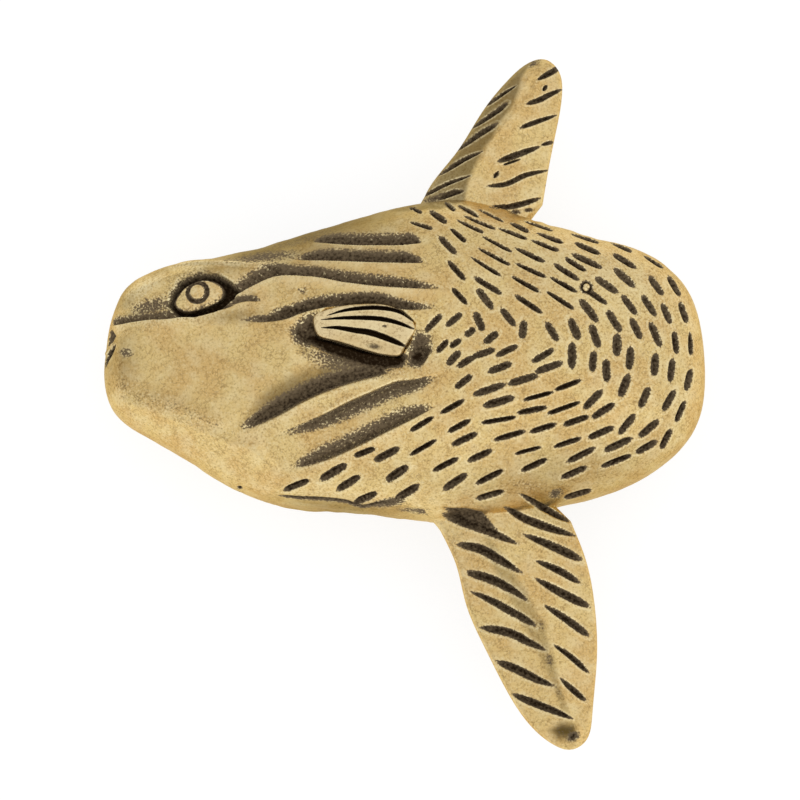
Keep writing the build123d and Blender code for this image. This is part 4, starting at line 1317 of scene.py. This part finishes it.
@dataclass
class Eye:
    """Almond eye with a cut iris ring, and the rivet head that is its pupil."""

    side: Side
    almond_px: Pixels = (
        (174.5, 306), (179, 295), (188, 286), (202, 280.5), (217, 283), (225, 291), (221.5, 301),
        (205, 309), (187, 313),
    )
    pupil_px: tuple[float, float] = (197.3, 291.8)
    pupil_mm: float = 0.55
    ring_mm: float = 0.74
    rise_mm: float = 0.42
    skirt_mm: float = 0.7
    sunk_mm: float = 0.2
    ring_depth_mm: float = 0.14
    ring_half_mm: float = 0.24
    pupil_rise_mm: float = 0.14
    pupil_skirt_mm: float = 0.5
    pupil_sunk_mm: float = 0.02
    crease_deg: float = 60.0
    grid: int = 81

    def seat(self, relief: Relief) -> tuple[Array, Array]:
        """Middle of the eye on the head and the direction it faces.

        Args:
            relief: Flank that carries the eye.

        Returns:
            A point in millimetres and a unit normal.
        """
        middle = np.array(self.almond_px).mean(axis=0)
        point = relief.at(middle)
        close = np.argsort(np.linalg.norm(relief.points - point, axis=1))[:60]
        normal = relief.normals[close].mean(axis=0) + 0.8 * VIEW.axes()[2]
        normal = normal / np.linalg.norm(normal)
        return point - self.sunk_mm * normal, normal

    def dome(self, ring: Array, normal: Array, rise: float, foot: float) -> tuple[Array, list[Face], Array]:
        """Domed plate on a closed outline with a skirt down into the head.

        Args:
            ring: Evenly spaced points of the outline.
            normal: Direction it faces.
            rise: Height of the dome in millimetres.
            foot: Depth of the skirt in millimetres.

        Returns:
            Points, faces, and the radius of each point from 0 to 1.
        """
        middle = ring.mean(axis=0)
        turned = np.cross(ring[0] - middle, ring[len(ring) // 12] - middle) @ normal
        ring = ring[::-1] if turned < 0.0 else ring
        radius, turn = disc_grid(self.grid, self.grid)
        dome = rise * np.sqrt(np.clip(1.0 - radius**2.2, 0.0, 1.0))
        top = middle + (closed_at(ring, turn) - middle) * radius[:, None] + dome[:, None] * normal
        faces, rim = skirted_grid(self.grid)
        points = np.vstack([top, top[rim] - foot * normal])
        return points, faces, np.concatenate([radius, np.ones(len(rim))])

    def build(
        self, relief: Relief, plate: bpy.types.Material, rivet: bpy.types.Material
    ) -> list[bpy.types.Object]:
        """Make the eye plate and its pupil.

        Args:
            relief: Flank that carries the eye.
            plate: Finish of the plate.
            rivet: Finish of the pupil.

        Returns:
            The two new pieces.
        """
        point, normal = self.seat(relief)
        ring = VIEW.on_plane(through(self.almond_px, 16, closed=True), point, normal)
        ring = even_ring(ring, 600)
        points, faces, radius = self.dome(ring, normal, self.rise_mm, self.skirt_mm)
        hub = VIEW.on_plane(np.array([self.pupil_px]), point + self.rise_mm * normal, normal)[0]
        rel = points - hub
        away = np.linalg.norm(rel - np.outer(rel @ normal, normal), axis=1)
        groove = np.abs(away - self.ring_mm)
        cut = self.ring_depth_mm * (1.0 - smooth(0.0, self.ring_half_mm, groove))
        points = points - cut[:, None] * normal
        patina = np.maximum(1.0 - smooth(0.1, self.ring_half_mm, groove), 1.1 * smooth(0.86, 1.0, radius))
        low = points @ np.array([0.35, -1.0, 0.0])
        patina = np.maximum(patina, 0.42 * smooth(np.median(low), low.max(), low) * smooth(0.4, 0.8, radius))
        turn = np.linspace(0.0, 2 * math.pi, 240, endpoint=False)
        across = np.cross(normal, [1.0, 0.0, 0.0])
        across = across / np.linalg.norm(across)
        aside = np.cross(across, normal)
        circle = np.outer(np.cos(turn), aside) + np.outer(np.sin(turn), across)
        disc = hub + self.pupil_mm * circle - self.pupil_sunk_mm * normal
        sizes = self.pupil_rise_mm, self.pupil_skirt_mm
        pupil, pupil_faces, pupil_radius = self.dome(disc, normal, *sizes)
        name = self.side.name.lower()
        made = []
        for label, mesh, ring_faces, tone, finish, slot in (
            ("eye_plate", points, faces, patina, plate, "eye"),
            ("pupil_head", pupil, pupil_faces, 0.9 * smooth(0.9, 1.0, pupil_radius), rivet, "pupil"),
        ):
            blank = np.zeros(len(tone))
            tones = {"patina": tone, "dull": blank, "grit": blank + 0.8, "worn": blank + 0.3}
            names = f"{label}_{name}", f"{slot}_{name}", f"{slot}_brass"
            made.append(make_piece(*names, mesh, ring_faces, tones, finish, self.side, self.crease_deg))
        return made


@dataclass
class Studio:
    """White card floor, and a soft room that is bright on the belly and tail side and dim above the head."""

    floor_m: float = 20.0
    floor_colour: str = "#F4F3F1"
    bright: float = 0.87
    dim: float = 0.7
    towards: tuple[float, float, float] = (0.6, -0.6, 0.52)
    lamp_m: tuple[float, float, float] = (0.32, -0.36, 0.42)
    lamp_size_m: float = 0.5
    lamp_watts: float = 0.3
    card_glow: float = 0.8
    shadow_colour: tuple[float, float, float, float] = (0.3, 0.3, 0.3, 1.0)

    def build(self) -> None:
        """Add floor, room light and lamp."""
        bpy.context.scene.view_settings.view_transform = "Standard"
        self.lay_floor()
        self.light_room()
        data = bpy.data.lights.new("key_softbox", "AREA")
        data.size = self.lamp_size_m
        data.energy = self.lamp_watts
        lamp = bpy.data.objects.new("key_softbox", data)
        bpy.context.scene.collection.objects.link(lamp)
        lamp.location = self.lamp_m
        lamp.rotation_euler = Vector(self.lamp_m).to_track_quat("Z", "Y").to_euler()

    def lay_floor(self) -> None:
        """Lay the white card, which keeps a share of the shadow."""
        mesh = bpy.data.meshes.new("floor")
        half = self.floor_m / 2
        corners = [(-half, -half, 0), (half, -half, 0), (half, half, 0), (-half, half, 0)]
        mesh.from_pydata(corners, [], [(0, 1, 2, 3)])
        floor = bpy.data.objects.new("floor", mesh)
        bpy.context.scene.collection.objects.link(floor)
        material = bpy.data.materials.new("white_card")
        material.use_nodes = True
        tree = material.node_tree
        tree.nodes.clear()
        rays = tree.nodes.new("ShaderNodeLightPath").outputs
        seen = rays["Is Camera Ray"]
        for kind in ("Is Glossy Ray", "Is Transmission Ray"):
            seen = add_node(tree, "Math", {0: seen, 1: rays[kind]}, operation="MAXIMUM")
        card = add_node(tree, "BsdfDiffuse", {"Color": self.floor_colour})
        glow = add_node(tree, "Emission", {"Color": "#FFFFFF", "Strength": self.card_glow})
        shade = add_node(tree, "BsdfDiffuse", {"Color": self.shadow_colour})
        white = add_node(tree, "AddShader", {0: glow, 1: shade})
        mix = add_node(tree, "MixShader", {0: seen, 1: card, 2: white})
        add_node(tree, "OutputMaterial", {"Surface": mix})
        mesh.materials.append(material)

    def light_room(self) -> None:
        """Set the room's soft light, which fades from one side to the other."""
        world = bpy.data.worlds.new("soft_room")
        world.use_nodes = True
        tree = world.node_tree
        tree.nodes.clear()
        way = add_node(tree, "TexCoord", {}, "Generated")
        aim = tuple(Vector(self.towards).normalized())
        side = add_node(tree, "VectorMath", {0: way, 1: aim}, "Value", operation="DOT_PRODUCT")
        fade = {0: side, 1: -0.5, 2: 0.4, 3: self.dim, 4: self.bright}
        strength = add_node(tree, "MapRange", fade, interpolation_type="SMOOTHSTEP")
        glow = add_node(tree, "Background", {"Color": "#FFFFFF", "Strength": strength})
        add_node(tree, "OutputWorld", {"Surface": glow})
        bpy.context.scene.world = world


def main() -> None:
    """Build the fish, its finishes, the studio and the camera."""
    logging.basicConfig(level=logging.INFO)
    body_brass = CastBrass("cast_brass_body").build()
    fin_brass = CastBrass("cast_brass_fin").build()
    pectoral_brass = CastBrass("brushed_brass_paddle", bright="#ECD6A6", warm="#E0C590").build()
    eye_brass = CastBrass("polished_brass_eye", roughness=0.38).build()
    dowel_brass = CastBrass("drawn_brass_rod", roughness=0.3).build()
    left, right = BodyHalf(Side.LEFT), BodyHalf(Side.RIGHT)
    left.chase((DORSAL_FIN, ANAL_FIN))
    right.relief = left.relief
    pieces = [left.build(body_brass), right.build(body_brass)]
    pieces += [fin.build(fin_brass, left) for fin in (DORSAL_FIN, ANAL_FIN)]
    for side in Side:
        pieces.append(PectoralFin(side).build(pectoral_brass))
        pieces += Eye(side).build(left.relief, eye_brass, eye_brass)
    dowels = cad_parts["locating_dowels"].data.materials
    dowels.clear()
    dowels.append(dowel_brass)
    for piece in pieces:
        LOG.info("%s: %d points", piece.name, len(piece.data.vertices))
    Studio().build()
    VIEW.place_camera()


if __name__ == "__main__":
    main()
